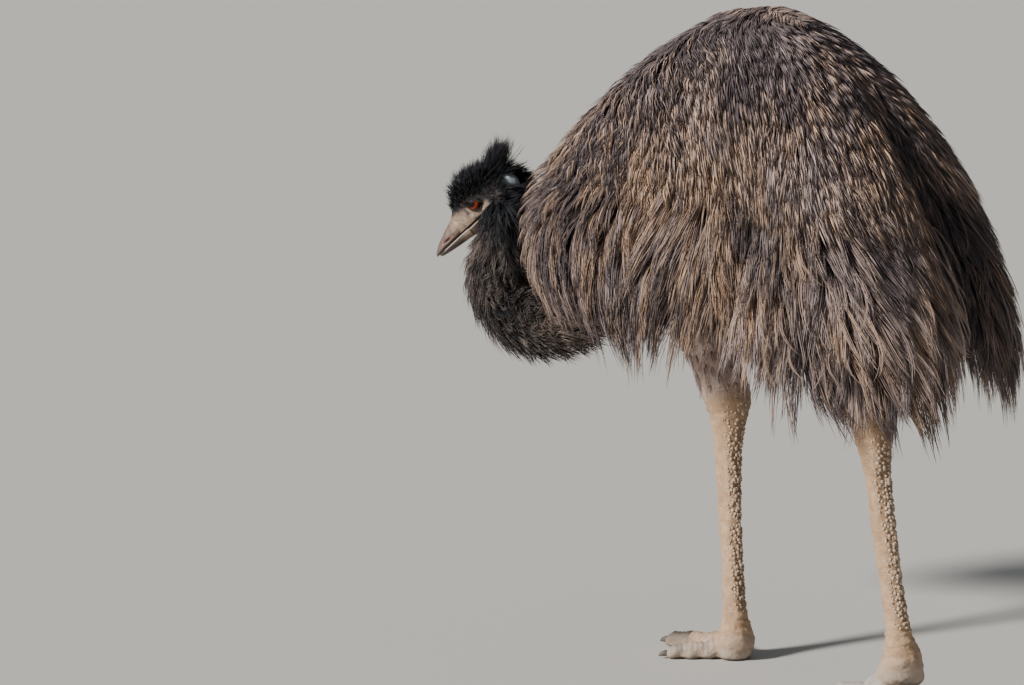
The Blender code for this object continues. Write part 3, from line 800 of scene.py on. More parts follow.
def skin_mesh():
    """One skin: body, neck and drumsticks in an even grain, with finer head and legs grown on."""
    coarse = [body_mesh(), neck_mesh()] + [drumstick_mesh(leg, 0.30, 0.85, 0.0) for leg in LEGS.values()]
    skin = fused(joined("skin", coarse), BODY_GRAIN, BODY_SMOOTHING)
    for piece in [head_mesh()] + [leg_mesh(leg) for leg in LEGS.values()]:
        skin = united(skin, piece)
    skin.shade_smooth()
    return skin


# Eyes, bill and claws

def eye_mesh(side):
    """An eyeball with a slightly raised cornea, marked with how far each point is off the gaze."""
    mesh = primitive("eye", bmesh.ops.create_icosphere, subdivisions=5, radius=1.0)
    way = points_of(mesh)
    gaze = unit(np.array((side * 1.0, -0.20, 0.26)))
    facing = way @ gaze
    cornea = 0.0009 * ramp(facing, 0.55, 0.90)
    points = way * (EYE_RADIUS + cornea)[:, None]
    move_points(mesh, carried(points + eye_centre(side), HEAD_TO_WORLD))
    mesh.shade_smooth()
    paint(mesh, "off_gaze", np.arccos(np.clip(facing, -1, 1)))
    # Painted shade in the front corner of the eye
    _, long, _ = eye_spread(-way[:, 1] * EYE_RADIUS, way[:, 2] * EYE_RADIUS)
    paint(mesh, "corner", ramp(long, 0.0040, 0.0080))
    return mesh


def bill_mesh(name, table, upper):
    """Half of the bill. The upper one has nostrils in their grooves and a ridge along the top."""
    rings = profile_rings(table, 110, 72, 2.1, 0.22 if upper else 0.0)
    if upper:
        rings[..., 2] = np.maximum(rings[..., 2], GAPE_LEVEL + HALF_GAPE)
    else:
        rings[..., 2] = np.minimum(rings[..., 2], GAPE_LEVEL - HALF_GAPE)
    mesh = loft(name, rings)
    points, normals = points_of(mesh), normals_of(mesh)
    forward, across, up = -points[:, 1], points[:, 0], points[:, 2]
    outward = np.abs(normals[:, 0])
    hole = np.zeros(len(points))
    if upper:
        above_axis = up - (NOSTRIL_UP + (forward - NOSTRIL_FORWARD) * NOSTRIL_SLOPE)
        hole = bell(forward, NOSTRIL_FORWARD, NOSTRIL_LENGTH) * bell(above_axis, 0.0, NOSTRIL_HEIGHT)
        hole = hole * ramp(outward, 0.15, 0.5)
        groove = bell(above_axis - 0.0012, 0.0, 0.0022)
        groove = groove * ramp(forward, 0.064, 0.08) * (1 - ramp(forward, 0.1, 0.108))
        ridge = bell(across, 0.0, 0.0030) * ramp(normals[:, 2], 0.2, 0.9)
        # The band along the upper bill's lower edge: dented, and given painted shade
        edge = bell(up, GAPE_LEVEL + 0.0014, 0.0030) * ramp(outward, 0.2, 0.6)
        move = -0.0026 * hole - 0.0007 * groove + 0.0009 * ridge - 0.0005 * edge
    else:
        edge = bell(up, GAPE_LEVEL - 0.0008, 0.0012) * ramp(outward, 0.2, 0.6)
        move = 0.0004 * edge
    points = points + normals * move[:, None]
    move_points(mesh, carried(points, HEAD_TO_WORLD))
    bill_start, bill_length = 0.05, 0.075
    paint(mesh, "hole", hole)
    paint(mesh, "edge", edge)
    paint(mesh, "forward", (forward - bill_start) / bill_length)
    return mesh


def claw_mesh(leg, toe):
    start, along, side, length = toe_frame(leg, toe)
    shares = np.linspace(CLAW_LINE[0][0], CLAW_LINE[-1][0], 22)
    height, half = smooth_table(CLAW_LINE, shares).T * TOE_THICKNESS[toe]
    centres = start + along * (length * shares)[:, None] + UP * (height + SOLE_CLEARANCE)[:, None]
    return loft("claw", oval_rings(centres, side, UP, half, half * 0.92, 16, 2.3))


# Feathers: closed tapering blades in tufts, each tuft with its own tones

def blades(name, lines, widths, normals, marks, roots):
    """Blades along lines, an array of blade, place and coordinates.
    Each has a ridge above and a flat underside, and comes to a point at its last place."""
    ridge_height = 0.9
    count, places = lines.shape[:2]
    tangent = np.empty_like(lines)
    tangent[:, 1:-1] = lines[:, 2:] - lines[:, :-2]
    tangent[:, 0] = lines[:, 1] - lines[:, 0]
    tangent[:, -1] = lines[:, -1] - lines[:, -2]
    tangent = unit(tangent)
    side = unit(np.cross(normals, tangent))
    above = unit(np.cross(tangent, side))
    half = widths[..., None] / 2
    left = lines - side * half
    right = lines + side * half
    ridge = lines + above * half * ridge_height
    body = np.stack((left, right, ridge), axis=2)[:, :-1]
    rows = places - 1
    points = np.concatenate((body.reshape(count, rows * 3, 3), lines[:, -1:]), axis=1)
    sides = ((0, 1), (1, 2), (2, 0))
    quads = []
    for start in range(0, (rows - 1) * 3, 3):
        quads += [(start + a, start + b, start + 3 + b, start + 3 + a) for a, b in sides]
    last, tip = (rows - 1) * 3, rows * 3
    tris = [(last + a, last + b, tip) for a, b in sides] + [(0, 2, 1)]
    per_blade = rows * 3 + 1
    first = (np.arange(count) * per_blade)[:, None, None]
    all_quads = (first + np.array(quads)[None]).reshape(-1, 4)
    all_tris = (first + np.array(tris)[None]).reshape(-1, 3)
    mesh = array_mesh(name, points.reshape(-1, 3), (all_quads, all_tris))
    share = np.append(np.repeat(np.arange(rows) / rows, 3), 1.0)
    across = np.append(np.tile((-0.5, 0.5, 0.0), rows), 0.0)
    paint(mesh, "along", np.tile(share, count))
    for key, values in marks.items():
        paint(mesh, key, np.repeat(values, per_blade))
    patch = roots[:, None] + PATCH * np.stack((across, share - 0.5), -1)[None]
    corner = np.concatenate((all_quads.ravel(), all_tris.ravel()))
    layer = mesh.uv_layers.new(name="OFBake")
    flat = patch.reshape(-1, 2)[corner].astype(np.float32)
    layer.uv.foreach_set("vector", flat.ravel())
    return mesh


def tuft_lines(lines, normals, spread_width, strands, rng, droop, curl=0.30, closing=0.72):
    """Fan each tuft's middle line out into its strands, which close together again at the tip."""
    count, places = lines.shape[:2]
    t = np.linspace(0, 1, places)
    tangent = unit(np.gradient(lines, axis=1))
    side = unit(np.cross(normals, tangent))
    above = unit(np.cross(tangent, side))
    offset = (np.arange(strands) + 0.5) / strands * 2 - 1
    offset = offset[None] + rng.normal(0, 0.16, (count, strands))
    profile = 0.25 + 0.95 * np.sin(np.pi * np.clip(t * closing + 0.06, 0, 1))
    length_share = 1 - 0.16 * offset**2 - np.abs(rng.normal(0, 0.10, (count, strands)))
    length_share = np.clip(length_share, 0.55, 1.05)
    where = length_share[..., None] * t * (places - 1)
    low = np.clip(where.astype(int), 0, places - 2)
    mix = (where - low)[..., None]
    rows = np.arange(count)[:, None, None]
    base = lines[rows, low] * (1 - mix) + lines[rows, low + 1] * mix
    side_at = side[rows, low]
    above_at = above[rows, low]
    sway = rng.normal(0, 1.0, (count, strands, 1)) * np.reshape(curl, (-1, 1, 1)) * t**2.6
    wide = np.reshape(spread_width, (-1, 1, 1))
    across = (offset[..., None] * profile + sway) * wide
    lift = (rng.normal(0, 0.22, (count, strands, 1)) * t - droop * offset[..., None] ** 2) * wide
    fanned = base + side_at * across[..., None] + above_at * lift[..., None]
    return fanned.reshape(count * strands, places, 3), above_at.reshape(count * strands, places, 3)


def blade_widths(count, places, wide, rng):
    """Widths along each blade, which is broadest at its middle."""
    profile = (0.45, 0.90, 1.0, 0.82, 0.45)
    shape = np.interp(np.linspace(0, 1, places), np.linspace(0, 1, len(profile)), profile)
    return wide * rng.uniform(0.75, 1.25, (count, 1)) * shape[None]


def tuft_mesh(name, fanned, above, widths, roots, tone, tip, warm):
    """The blades of all tufts. A mark is one number for all, for each tuft, or for each of its strands."""
    strands = len(fanned) // len(roots)
    marks = {}
    for key, values in (("tone", np.clip(tone, 0, 1)), ("tip", tip), ("warm", np.clip(warm, 0, 1))):
        by_tuft = values if np.ndim(values) == 2 else np.reshape(values, (-1, 1))
        marks[key] = np.broadcast_to(by_tuft, (len(roots), strands)).ravel()
    return blades(name, fanned, widths, above, marks, np.repeat(roots, strands, 0))


def coat_unwrap(turn, level):
    """A tuft's place on its map: turn about the body across, level from hem to back up."""
    return np.stack(((wrap(turn) + 180) / 360, 1 - level * 0.98), -1)


# Where the body's tufts grow

def even_roots(count, rng, low_level, high_level, density):
    """Turns and levels spread evenly over the coat's surface, thicker where density is higher."""
    turns = np.arange(-180, 180, 2.0) + 1.0
    levels = np.linspace(low_level, high_level, 160)
    turn_grid, level_grid = np.meshgrid(turns, levels, indexing="ij")
    by_turn, by_level, _ = coat_slopes(turn_grid, level_grid)
    area = np.linalg.norm(np.cross(by_turn, by_level), axis=-1) * density(turn_grid, level_grid)
    first, second = even_pairs(count)
    column = np.cumsum(area.sum(1)) / area.sum()
    turn_index = np.searchsorted(column, first).clip(0, len(turns) - 1)
    rows = np.cumsum(area, axis=1) / np.maximum(area.sum(1, keepdims=True), 1e-12)
    level_index = (rows[turn_index] < second[:, None]).sum(1).clip(0, len(levels) - 1)
    turn = turns[turn_index] + rng.uniform(-1.6, 1.6, count)
    level = levels[level_index] + rng.uniform(-0.8, 0.8, count) * (levels[1] - levels[0])
    return turn, np.maximum(level, 0.003)


def thigh_parting(turn, level):
    """How close a place is to the parting in front of each thigh, which is dented into the coat and darkened
    with painted shade.
    """
    line = read_table(THIGH_PARTING, level)
    return bell(np.abs(turn) - line, 0.0, 2.6) * ramp(level, 0.62, 0.72)


def rump_parting(turn, level):
    """How close a place is to the parting that runs down the middle of the rump."""
    line = read_table(RUMP_PARTING, level)
    return bell(wrap(turn - line), 0.0, 5.5) * ramp(level, 0.32, 0.58)


def thigh_fan(turn, level):
    """Sideways lean of the feathers that fan out over each thigh."""
    middle, half_width, lean = 119.0, 26.0, 0.34
    off = np.abs(wrap(turn)) - middle
    region = ramp(level, 0.52, 0.66) * (1 - ramp(np.abs(off), half_width, 44.0))
    return np.sign(wrap(turn)) * region * np.clip(off / half_width, -1, 1) * lean


def body_lines(turn, level, lengths, drift, root_depth, tip_depth, places):
    """Lines that lie down the coat from root to tip, with the skin's depth at the root."""
    by_turn, by_level, _ = coat_slopes(turn, level)
    by_level_later = coat_slopes(turn, np.minimum(level + 0.06, 0.99))[1]
    speed = (np.linalg.norm(by_level, axis=-1) + np.linalg.norm(by_level_later, axis=-1)) / 2
    turn_speed = np.maximum(np.linalg.norm(by_turn, axis=-1), 0.0010)
    t = np.linspace(0, 1, places)
    levels = level[:, None] + lengths[:, None] / speed[:, None] * t
    turns = turn[:, None] + (lengths * drift / turn_speed)[:, None] * t**1.2
    normals = coat_slopes(turns, np.clip(levels, 0, 1))[2]
    depth = tip_depth[:, None] + (root_depth - tip_depth)[:, None] * (1 - t) ** 1.7
    valley = 0.015 * thigh_parting(wrap(turns), levels) + 0.022 * rump_parting(wrap(turns), levels)
    return coat_point(turns, levels) - normals * (depth + valley)[..., None], normals


def across_of(lines, normals):
    """Ways sideways of lines that lie on the coat."""
    return unit(np.cross(normals, unit(np.gradient(lines, axis=1))))


def breast_share(points):
    """1 over the breast, falling to 0 along the flanks."""
    return ramp(SHIFT[1] - points[..., 1], 0.08, 0.30)


def patchiness(points):
    """The coat's markings, from dark (0) to tan (1), the same on skin and feathers, with painted shade on the
    top of the back, the near haunch and the far side of the rump.
    """
    broad = ripple(points * np.array((1, 1, 0.45)), 0.20, 21)
    fine = ripple(points * np.array((1, 1, 0.35)), 0.060, 22)
    x, y, z = points[..., 0], points[..., 1] - SHIFT[1], points[..., 2]
    lower = 1 - ramp(z, 0.60, 0.90)
    breast = breast_share(points) * (1 - ramp(z, 0.74, 0.92))
    # Painted shade: the near haunch, the far side of the rump and the top of the back are made darker
    haunch_shade = ramp(y, 0.18, 0.32) * ramp(x, 0.0, 0.08) * (1 - ramp(z, 0.56, 0.70))
    rump = ramp(y, 0.12, 0.24) * ramp(-x, -0.02, 0.03) * (1 - ramp(-x, 0.12, 0.20))
    top = ramp(z, 0.87, 0.99)
    tone = 0.43 + 0.17 * broad + 0.22 * fine + 0.02 * lower
    tone = tone - 0.27 * breast - 0.42 * rump - 0.40 * top - 0.15 * haunch_shade
    return np.clip(tone, 0, 1)


def grey_bloom(turn, level):
    """The cooler, greyer feathers over the back of each thigh."""
    return bell(np.abs(wrap(turn)), 134, 15) * bell(level, 0.70, 0.16)


def shoulder(turn, place):
    """Where the front edge of the mantle stands out from the breast."""
    return bell(wrap(turn), 16, 30) * bell(place[:, 2], 0.815, 0.034)


def rearward(turn):
    """Which way is rearward, 1 or -1, fading out over the thighs and the middle of the breast."""
    side = wrap(turn)
    return np.sign(side) * ramp(np.abs(side), 8, 40) * (1 - ramp(np.abs(side), 98, 128))


def mantle_lean(turn):
    """Extra rearward lean of the mantle's feathers, beside the breast."""
    side = wrap(turn)
    return 0.46 * np.sign(side) * ramp(np.abs(side), 8, 30) * (1 - ramp(np.abs(side), 52, 84))


def gathered(turn, level):
    """For each tuft the turn to the middle of its lock, and three random numbers the lock shares."""
    bands = np.floor(level * LOCK_BANDS).astype(int)
    shift = ((bands * BAND_STEP) % 1.0) * LOCK_WIDTH
    lock = np.floor((turn % 360.0 + shift) / LOCK_WIDTH).astype(int)
    middle = (lock + 0.5) * LOCK_WIDTH - shift
    size = (LOCK_BANDS + 1, int(360 / LOCK_WIDTH) + 2, 3)
    shared = np.random.default_rng(LOCK_SEED).normal(0, 1, size)
    return wrap(middle - turn), shared[np.clip(bands, 0, LOCK_BANDS), lock]


def between(low, high):
    """Whether a turn lies in a sector, which may run past the middle of the rump."""
    def keep(turn):
        return (((turn - low) % 360.0) < (high - low)).astype(float)
    return keep


def shaded(place, turn, level, count, rng):
    """Tone of each feather: the markings, painted shade in the partings, and a share of dark and bright ones.
    """
    tone = patchiness(place) + rng.normal(0, 0.09, count)
    pick = rng.uniform(size=count)
    tone = np.where(pick > 0.83, tone + 0.18, np.where(pick < 0.25, tone - 0.17, tone))
    # Painted shade in the partings before the thighs and down the rump
    tone -= 0.30 * thigh_parting(wrap(turn), level + 0.05) + 0.42 * rump_parting(wrap(turn), level)
    return tone


def back_tufts(name, count, seed, keep):
    """The short spear-shaped feathers of the back and flanks, pale down the middle."""
    rng = np.random.default_rng(seed)

    def density(turn, level):
        return keep(turn) * (1.9 - 0.9 * ramp(level, 0.10, 0.30))

    turn, level = even_roots(count, rng, *BACK_LEVELS, density)
    place = coat_point(turn, level)
    lengths = read_table(BACK_LENGTHS, level) * rng.uniform(0.80, 1.15, count)
    drift = (0.14 * ripple(place, 0.16, 31) + rng.normal(0, 0.085, count)) * ramp(level, 0.01, 0.12)
    drift += thigh_fan(turn, level) + (rearward(turn) * 0.38 + mantle_lean(turn)) * ramp(level, 0.04, 0.22)
    tip_depth = rng.normal(0.0015, 0.0022, count) * (0.4 + 0.6 * ramp(level, 0.0, 0.12))
    tip_depth -= 0.011 * shoulder(turn, place)
    root_depth = skin_depth(level) * (0.45 + 0.45 * ramp(level, 0.15, 0.45))
    places, strands = 4, 5
    lines, normals = body_lines(turn, level, lengths, drift, root_depth, tip_depth, places)
    wide = read_table(BACK_WIDTHS, level) * rng.uniform(0.8, 1.2, count)
    fanned, above = tuft_lines(lines, normals, wide, strands, rng, 0.35)
    widths = blade_widths(count * strands, places, BACK_BLADE, rng)
    widths *= np.tile((0.9, 1.0, 1.45, 1.0, 0.9), count)[:, None]
    tone = shaded(place, turn, level, count, rng)
    spear = np.array((0.0, 0.40, 1.0, 0.40, 0.0)) - 0.30
    strength = np.where(rng.uniform(size=count) > 0.42, rng.uniform(0.50, 0.95, count), 0.08)
    # The pale streaks are weaker on the breast, and weaker on the top of the back as painted shade
    strength *= (1 - 0.30 * breast_share(place)) * (1 - 0.42 * ramp(place[:, 2], 0.84, 0.96))
    tone = (tone - 0.04)[:, None] + strength[:, None] * spear[None] + rng.normal(0, 0.05, (count, strands))
    tip = rng.normal(0.34, 0.34, count).clip(-0.6, 1)
    warm = 0.30 + 0.50 * ramp(level, 0.15, 0.5) + 0.40 * ripple(place, 0.12, 24)
    warm = warm - 0.8 * grey_bloom(turn, level) + 0.5 * breast_share(place)
    warm = warm + rng.normal(0, 0.2, count)
    return tuft_mesh(name, fanned, above, widths, coat_unwrap(turn, level), tone, tip, warm)


def over_coat(x, y):
    """Turn and level of the coat straight above places on the ground plan near the top of the back."""
    middle = coat_point(np.zeros(1), np.zeros(1))[0]
    x, y = x - middle[0], y - middle[1]
    aim, turn, level = np.hypot(x, y), np.degrees(np.arctan2(x, -y)), np.full(x.shape, 0.1)
    for _ in range(16):
        offset = coat_point(turn, level) - middle
        found = np.hypot(offset[..., 0], offset[..., 1])
        turn = turn + wrap(np.degrees(np.arctan2(x, -y) - np.arctan2(offset[..., 0], -offset[..., 1])))
        level = np.clip(level * (aim / np.maximum(found, 1e-6)) ** 0.85, 1e-4, 0.5)
    return turn, level


def ridge_tufts(name, count, seed):
    """The parting along the top of the back, from which the feathers fall to both sides."""
    rng = np.random.default_rng(seed)
    middle = coat_point(np.zeros(1), np.zeros(1))[0]
    start_y = rng.uniform(-0.050, 0.060, count)
    start_x = rng.normal(0, 0.004, count)
    lean = start_y / 0.050 + rng.normal(0, 0.35, count)
    way = unit(np.stack((np.where(np.arange(count) % 2 > 0, 1.0, -1.0), lean), -1))
    lengths = rng.uniform(0.045, 0.070, count)
    places, strands = 4, 5
    t = np.linspace(0, 1, places)
    run = lengths[:, None] * np.clip((t - 0.12) / 0.88, 0, 1)
    turn, level = over_coat(middle[0] + start_x[:, None] + way[:, :1] * run,
                            middle[1] + start_y[:, None] + way[:, 1:] * run)
    normals = coat_slopes(turn, level)[2]
    depth = 0.020 * (1 - t) ** 5 + rng.normal(0.0, 0.0012, count)[:, None] - 0.0015 * np.sin(np.pi * t)
    lines = coat_point(turn, level) - normals * depth[..., None]
    fanned, above = tuft_lines(lines, normals, 0.0042, strands, rng, 0.3)
    widths = blade_widths(count * strands, places, RIDGE_BLADE, rng)
    tone = rng.normal(0.36, 0.20, count)
    roots = np.stack(((wrap(turn[:, 0]) + 180) / 360, np.full(count, 0.99)), -1)
    return tuft_mesh(name, fanned, above, widths, roots, tone, 0.0, 0.45)


def skirt_tufts(name, count, seed, keep):
    """The long loose feathers of thighs, breast and rump, in waving locks that end in curls."""
    rng = np.random.default_rng(seed)

    def density(turn, level):
        return keep(turn) * (1 + 1.6 * bell(np.abs(wrap(turn)), 117, 9) * bell(level, 0.58, 0.09))

    turn, level = even_roots(count, rng, *SKIRT_LEVELS, density)
    place = coat_point(turn, level)
    lengths = read_table(SKIRT_LENGTHS, level) * rng.uniform(0.78, 1.12, count)
    front = 1 - ramp(np.abs(wrap(turn)), 70, 95)
    lengths *= 1 - 0.28 * front * (1 - ramp(level, 0.68, 0.82))
    off, shared = gathered(turn, level)
    radius = np.hypot(place[:, 0], place[:, 1] - SHIFT[1] - MIDDLE_Y)
    drift = 0.12 * ripple(place, 0.16, 31) + rng.normal(0, 0.05, count) + thigh_fan(turn, level)
    drift += (0.75 - 0.35 * front) * np.radians(off) * radius / lengths + 0.06 * shared[:, 0]
    drift += 0.15 * rearward(turn) + 0.7 * mantle_lean(turn)
    rear = ramp(np.abs(wrap(turn)), 95, 115)
    tip_depth = rng.normal(0.001, 0.0028, count) + 0.004 * ramp(level, 0.72, 0.86)
    tip_depth -= 0.011 * shoulder(turn, place)
    places, strands = 6, 7
    lines, normals = body_lines(turn, level, lengths, drift, skin_depth(level), tip_depth, places)
    t = np.linspace(0, 1, places)
    side = across_of(lines, normals) * np.sign(wrap(turn))[:, None, None]
    phase = math.tau * (0.5 + 0.5 * ripple(place, 0.09, 33)) + 0.6 * shared[:, 1] + rng.normal(0, 0.25, count)
    wave = (0.0038 - 0.0022 * front)[:, None] * np.sin(phase[:, None] + 4.2 * t) * t
    hook = 0.006 + 0.014 * shared[:, 1] + rng.normal(0, 0.005, count)
    hook = hook * ramp(level, 0.58, 0.80) * (0.4 + 0.6 * rear)
    lines = lines + side * (wave + hook[:, None] * t**3)[..., None]
    wide = read_table(SKIRT_WIDTHS, level) * rng.uniform(0.75, 1.25, count)
    curl = 0.28 + 0.34 * ramp(level, 0.60, 0.84)
    fanned, above = tuft_lines(lines, normals, wide, strands, rng, 0.30, curl, 0.84)
    widths = blade_widths(count * strands, places, SKIRT_BLADE, rng)
    tone = shaded(place, turn, level, count, rng) - 0.03 + 0.10 * shared[:, 2]
    kind = 0.5 + 0.28 * shared[:, 1] + rng.normal(0, 0.2, count)
    spear = np.array((0.0, 0.15, 0.6, 1.0, 0.6, 0.15, 0.0)) - 0.36
    strength = np.where(rng.uniform(size=count) > 0.45, rng.uniform(0.35, 0.75, count), 0.06)
    strength *= 0.25 + 0.75 * front
    tone = tone[:, None] + strength[:, None] * spear + rng.normal(0, 0.08, (count, strands))
    bright = 0.30 * (1 - 0.6 * breast_share(place))[:, None]
    tone = np.where(rng.uniform(size=(count, strands)) > 0.94, tone + bright, tone)
    tip = np.where(front > 0.5, rng.uniform(0.3, 1.0, count), rng.normal(0.06, 0.30, count))
    warm = np.where(kind < 0.30, 0.05, 0.95) + 0.25 * ripple(place, 0.12, 24) + rng.normal(0, 0.12, count)
    warm += 0.5 * breast_share(place) - 0.7 * grey_bloom(turn, level + 0.06)
    roots = coat_unwrap(turn, level)
    return tuft_mesh(name, fanned, above, widths, roots, tone, np.clip(tip, -0.6, 1), warm)


def plumes(name, count, seed):
    """Single long pale feathers that arch over the thighs and hang in curls below the hem."""
    rng = np.random.default_rng(seed)
    turn = rng.uniform(96, 262, count)
    level = 0.60 + 0.26 * rng.uniform(size=count) ** 0.7
    place = coat_point(turn, level)
    lengths = rng.uniform(0.10, 0.17, count) * (1.15 - 0.35 * ramp(level, 0.6, 0.86))
    drift = rng.normal(0, 0.16, count) + thigh_fan(turn, level)
    places, strands = 9, 4
    root_depth, tip_depth = np.full(count, 0.016), np.full(count, -0.004)
    lines, normals = body_lines(turn, level, lengths, drift, root_depth, tip_depth, places)
    t = np.linspace(0, 1, places)
    side = across_of(lines, normals) * np.sign(wrap(turn))[:, None, None]
    bow = rng.normal(0.004, 0.014, count)[:, None] * np.sin(np.pi * t * 0.9)
    hook = (rng.choice((-0.6, 1.0, 1.0), count) * rng.uniform(0.012, 0.036, count))[:, None] * t**3.2
    lines = lines + side * (bow + hook)[..., None]
    lines[..., 2] += (rng.uniform(0.0, 0.012, count))[:, None] * t**5
    fanned, above = tuft_lines(lines, normals, 0.0026, strands, rng, 0.1, 0.5, 0.86)
    widths = blade_widths(count * strands, places, PLUME_BLADE, rng)
    tone = patchiness(place)[:, None] + 0.10 + rng.normal(0, 0.14, (count, strands))
    tip = -rng.uniform(0.1, 0.6, count)
    warm = rng.uniform(0.2, 0.9, count)
    return tuft_mesh(name, fanned, above, widths, coat_unwrap(turn, level), tone, tip, warm)


def under_tufts(name, count, seed):
    """Feathers that hang inside the skirt, from the belly's edge to just above the hem."""
    rng = np.random.default_rng(seed)
    turn = rng.uniform(-180, 180, count)
    size = 0.94 - rng.beta(1.1, 1.8, count) * 0.20
    middle = np.array((0.0, MIDDLE_Y, 0.0)) + SHIFT
    hem = hem_height(turn)
    edge = coat_point(turn, np.ones(count))
    lift = read_table(UNDER_RISE, size)
    inner_hem, root_height, shortest = 0.560, 0.610, 0.06
    low = hem + (inner_hem - hem) * lift + rng.normal(0.012, 0.010, count)
    top = np.maximum(root_height, low + shortest)
    places, strands = 5, 5
    t = np.linspace(0, 1, places)
    flat = middle + (edge - middle) * size[:, None]
    inward = rng.uniform(0.0, 0.06, count)
    grown = 1 - (0.10 + inward[:, None]) * (1 - t) ** 1.2
    lines = middle + (flat - middle)[:, None] * grown[..., None]
    lines[..., 2] = top[:, None] + (low - top)[:, None] * t
    outward = (flat - middle) * np.array((1, 1, 0))
    normals = np.repeat(unit(outward)[:, None], places, 1)
    fanned, above = tuft_lines(lines, normals, 0.010, strands, rng, 0.2)
    widths = blade_widths(count * strands, places, UNDER_BLADE, rng)
    tone = rng.normal(0.22, 0.12, count)
    roots = np.stack(((wrap(turn) + 180) / 360, 0.02 + 0.1 * (size - 0.7)), -1)
    return tuft_mesh(name, fanned, above, widths, roots, tone, 0.0, 0.4)


def neck_tufts(name, count, seed):
    """Shaggy hair-like feathers that lie down the neck from the head to the breast."""
    rng = np.random.default_rng(seed)
    first_place, span, step, slowest = 0.6, 8.45, 0.1, 0.035
    along, around = even_pairs(count)
    place = first_place + span * along
    angle = math.tau * around
    lengths = read_table(NECK_LENGTHS, place) * rng.uniform(0.65, 1.3, count)
    ahead = neck_frame(np.minimum(place + step, NECK_END))[0]
    behind = neck_frame(np.maximum(place - step, 0))[0]
    speed = np.maximum(np.linalg.norm(ahead - behind, axis=-1) / (2 * step), slowest)
    places, strands = 4, 4
    t = np.linspace(0, 1, places)
    down_neck = np.clip(place[:, None] - lengths[:, None] / speed[:, None] * t, 0.0, NECK_END)
    angles = angle[:, None] + rng.normal(0, 0.34, count)[:, None] * t
    centre, tangent, side, up, half_width, half_depth = neck_frame(down_neck)
    root_depth = neck_coat_depth(place)[:, None]
    tip_depth = rng.normal(-0.001, 0.0055, count).clip(-0.011, 0.011)[:, None]
    depth = tip_depth + (root_depth + 0.002 - tip_depth) * (1 - t) ** 1.4
    cosine, sine = np.cos(angles)[..., None], np.sin(angles)[..., None]
    to_body = ramp(unit(side * cosine + up * sine)[..., 1], 0.1, 0.8)
    depth = depth - 0.030 * to_body * bell(place, 7.7, 2.0)[:, None] * t**1.2
    beside, above = (half_width - depth)[..., None], (half_depth - depth)[..., None]
    lines = centre + side * cosine * beside + up * sine * above
    normals = unit(side * cosine * half_depth[..., None] + up * sine * half_width[..., None])
    underside = ramp(-normals[:, 0, 2], 0.1, 0.8)
    curl = rng.normal(0, 0.009, count)[:, None] * t**2
    lines = lines + unit(np.cross(normals, tangent)) * curl[..., None]
    lines[..., 2] -= (rng.uniform(0.0, 0.006, count) + 0.010 * underside)[:, None] * t**2
    clear = np.nonzero(blue_patch(lines).max(1) < 0.3)[0]
    lines, normals, place, angle = (group[clear] for group in (lines, normals, place, angle))
    count = len(clear)
    fanned, above = tuft_lines(lines, normals, read_table(NECK_WIDTHS, place), strands, rng, 0.2, 1.0)
    widths = blade_widths(count * strands, places, NECK_BLADE, rng)
    base = 1 - ramp(place, 1.5, 4.5)
    outer = ramp(normals[:, 0, 0], -0.2, 0.6)
    grey = bell(place, 7.2, 0.9) * (1 - ramp(normals[:, 0, 1], -0.3, 0.5))
    nape = ramp(place, 7.6, 8.6)
    tone = 0.22 + 0.38 * base + 0.28 * grey + 0.13 * ripple(lines[:, 0], 0.05, 41)
    tone = tone + rng.normal(0, 0.13, count)
    # Painted shade: above the breast, feathers that do not face +X, the sunlit side, are darker
    tone = tone - 0.10 * (1 - outer) * (1 - base) - 0.24 * nape
    tip = -np.abs(rng.normal(0.0, 0.60, count)) * (rng.uniform(size=count) > 0.30) * (1 - 0.75 * nape)
    roots = np.stack((angle / math.tau % 1.0, place / NECK_END), -1)
    return tuft_mesh(name, fanned, above, widths, roots, tone, tip, 0.25 + 0.5 * base)


def mesh_samples(mesh, count, rng, wanted):
    """Points and normals spread over a mesh by area, where wanted(points) is high."""
    mesh.calc_loop_triangles()
    corners = np.empty(len(mesh.loop_triangles) * 3, np.int32)
    mesh.loop_triangles.foreach_get("vertices", corners)
    corners = corners.reshape(-1, 3)
    points, normals = points_of(mesh), normals_of(mesh)
    a, b, c = (points[corners[:, i]] for i in range(3))
    area = np.linalg.norm(np.cross(b - a, c - a), axis=1) * wanted((a + b + c) / 3)
    shares = (np.arange(count) + rng.uniform(size=count)) / count
    chosen = np.searchsorted(np.cumsum(area) / area.sum(), shares).clip(0, len(corners) - 1)
    u, v = rng.uniform(size=(2, count, 1))
    flip = (u + v) > 1
    u, v = np.where(flip, 1 - u, u), np.where(flip, 1 - v, v)
    weights = (1 - u - v, u, v)
    spot = sum(w * points[corners[chosen, i]] for i, w in enumerate(weights))
    normal = unit(sum(w * normals[corners[chosen, i]] for i, w in enumerate(weights)))
    return spot, normal


def blue_patch(points):
    """Where the pale blue patch lies, from 0 to 1."""
    forward, across, up = head_local(points)
    forward, up = forward - BLUE_PLACE[0], up - BLUE_PLACE[1]
    off = ((forward * 0.93 - up * 0.37) / 0.0068) ** 2 + ((forward * 0.37 + up * 0.93) / 0.0140) ** 2
    beside_head = ramp(across, 0.000, 0.005) * (1 - ramp(across, 0.027, 0.033))
    return (1.5 * np.exp(-off * off)).clip(0, 1) * beside_head


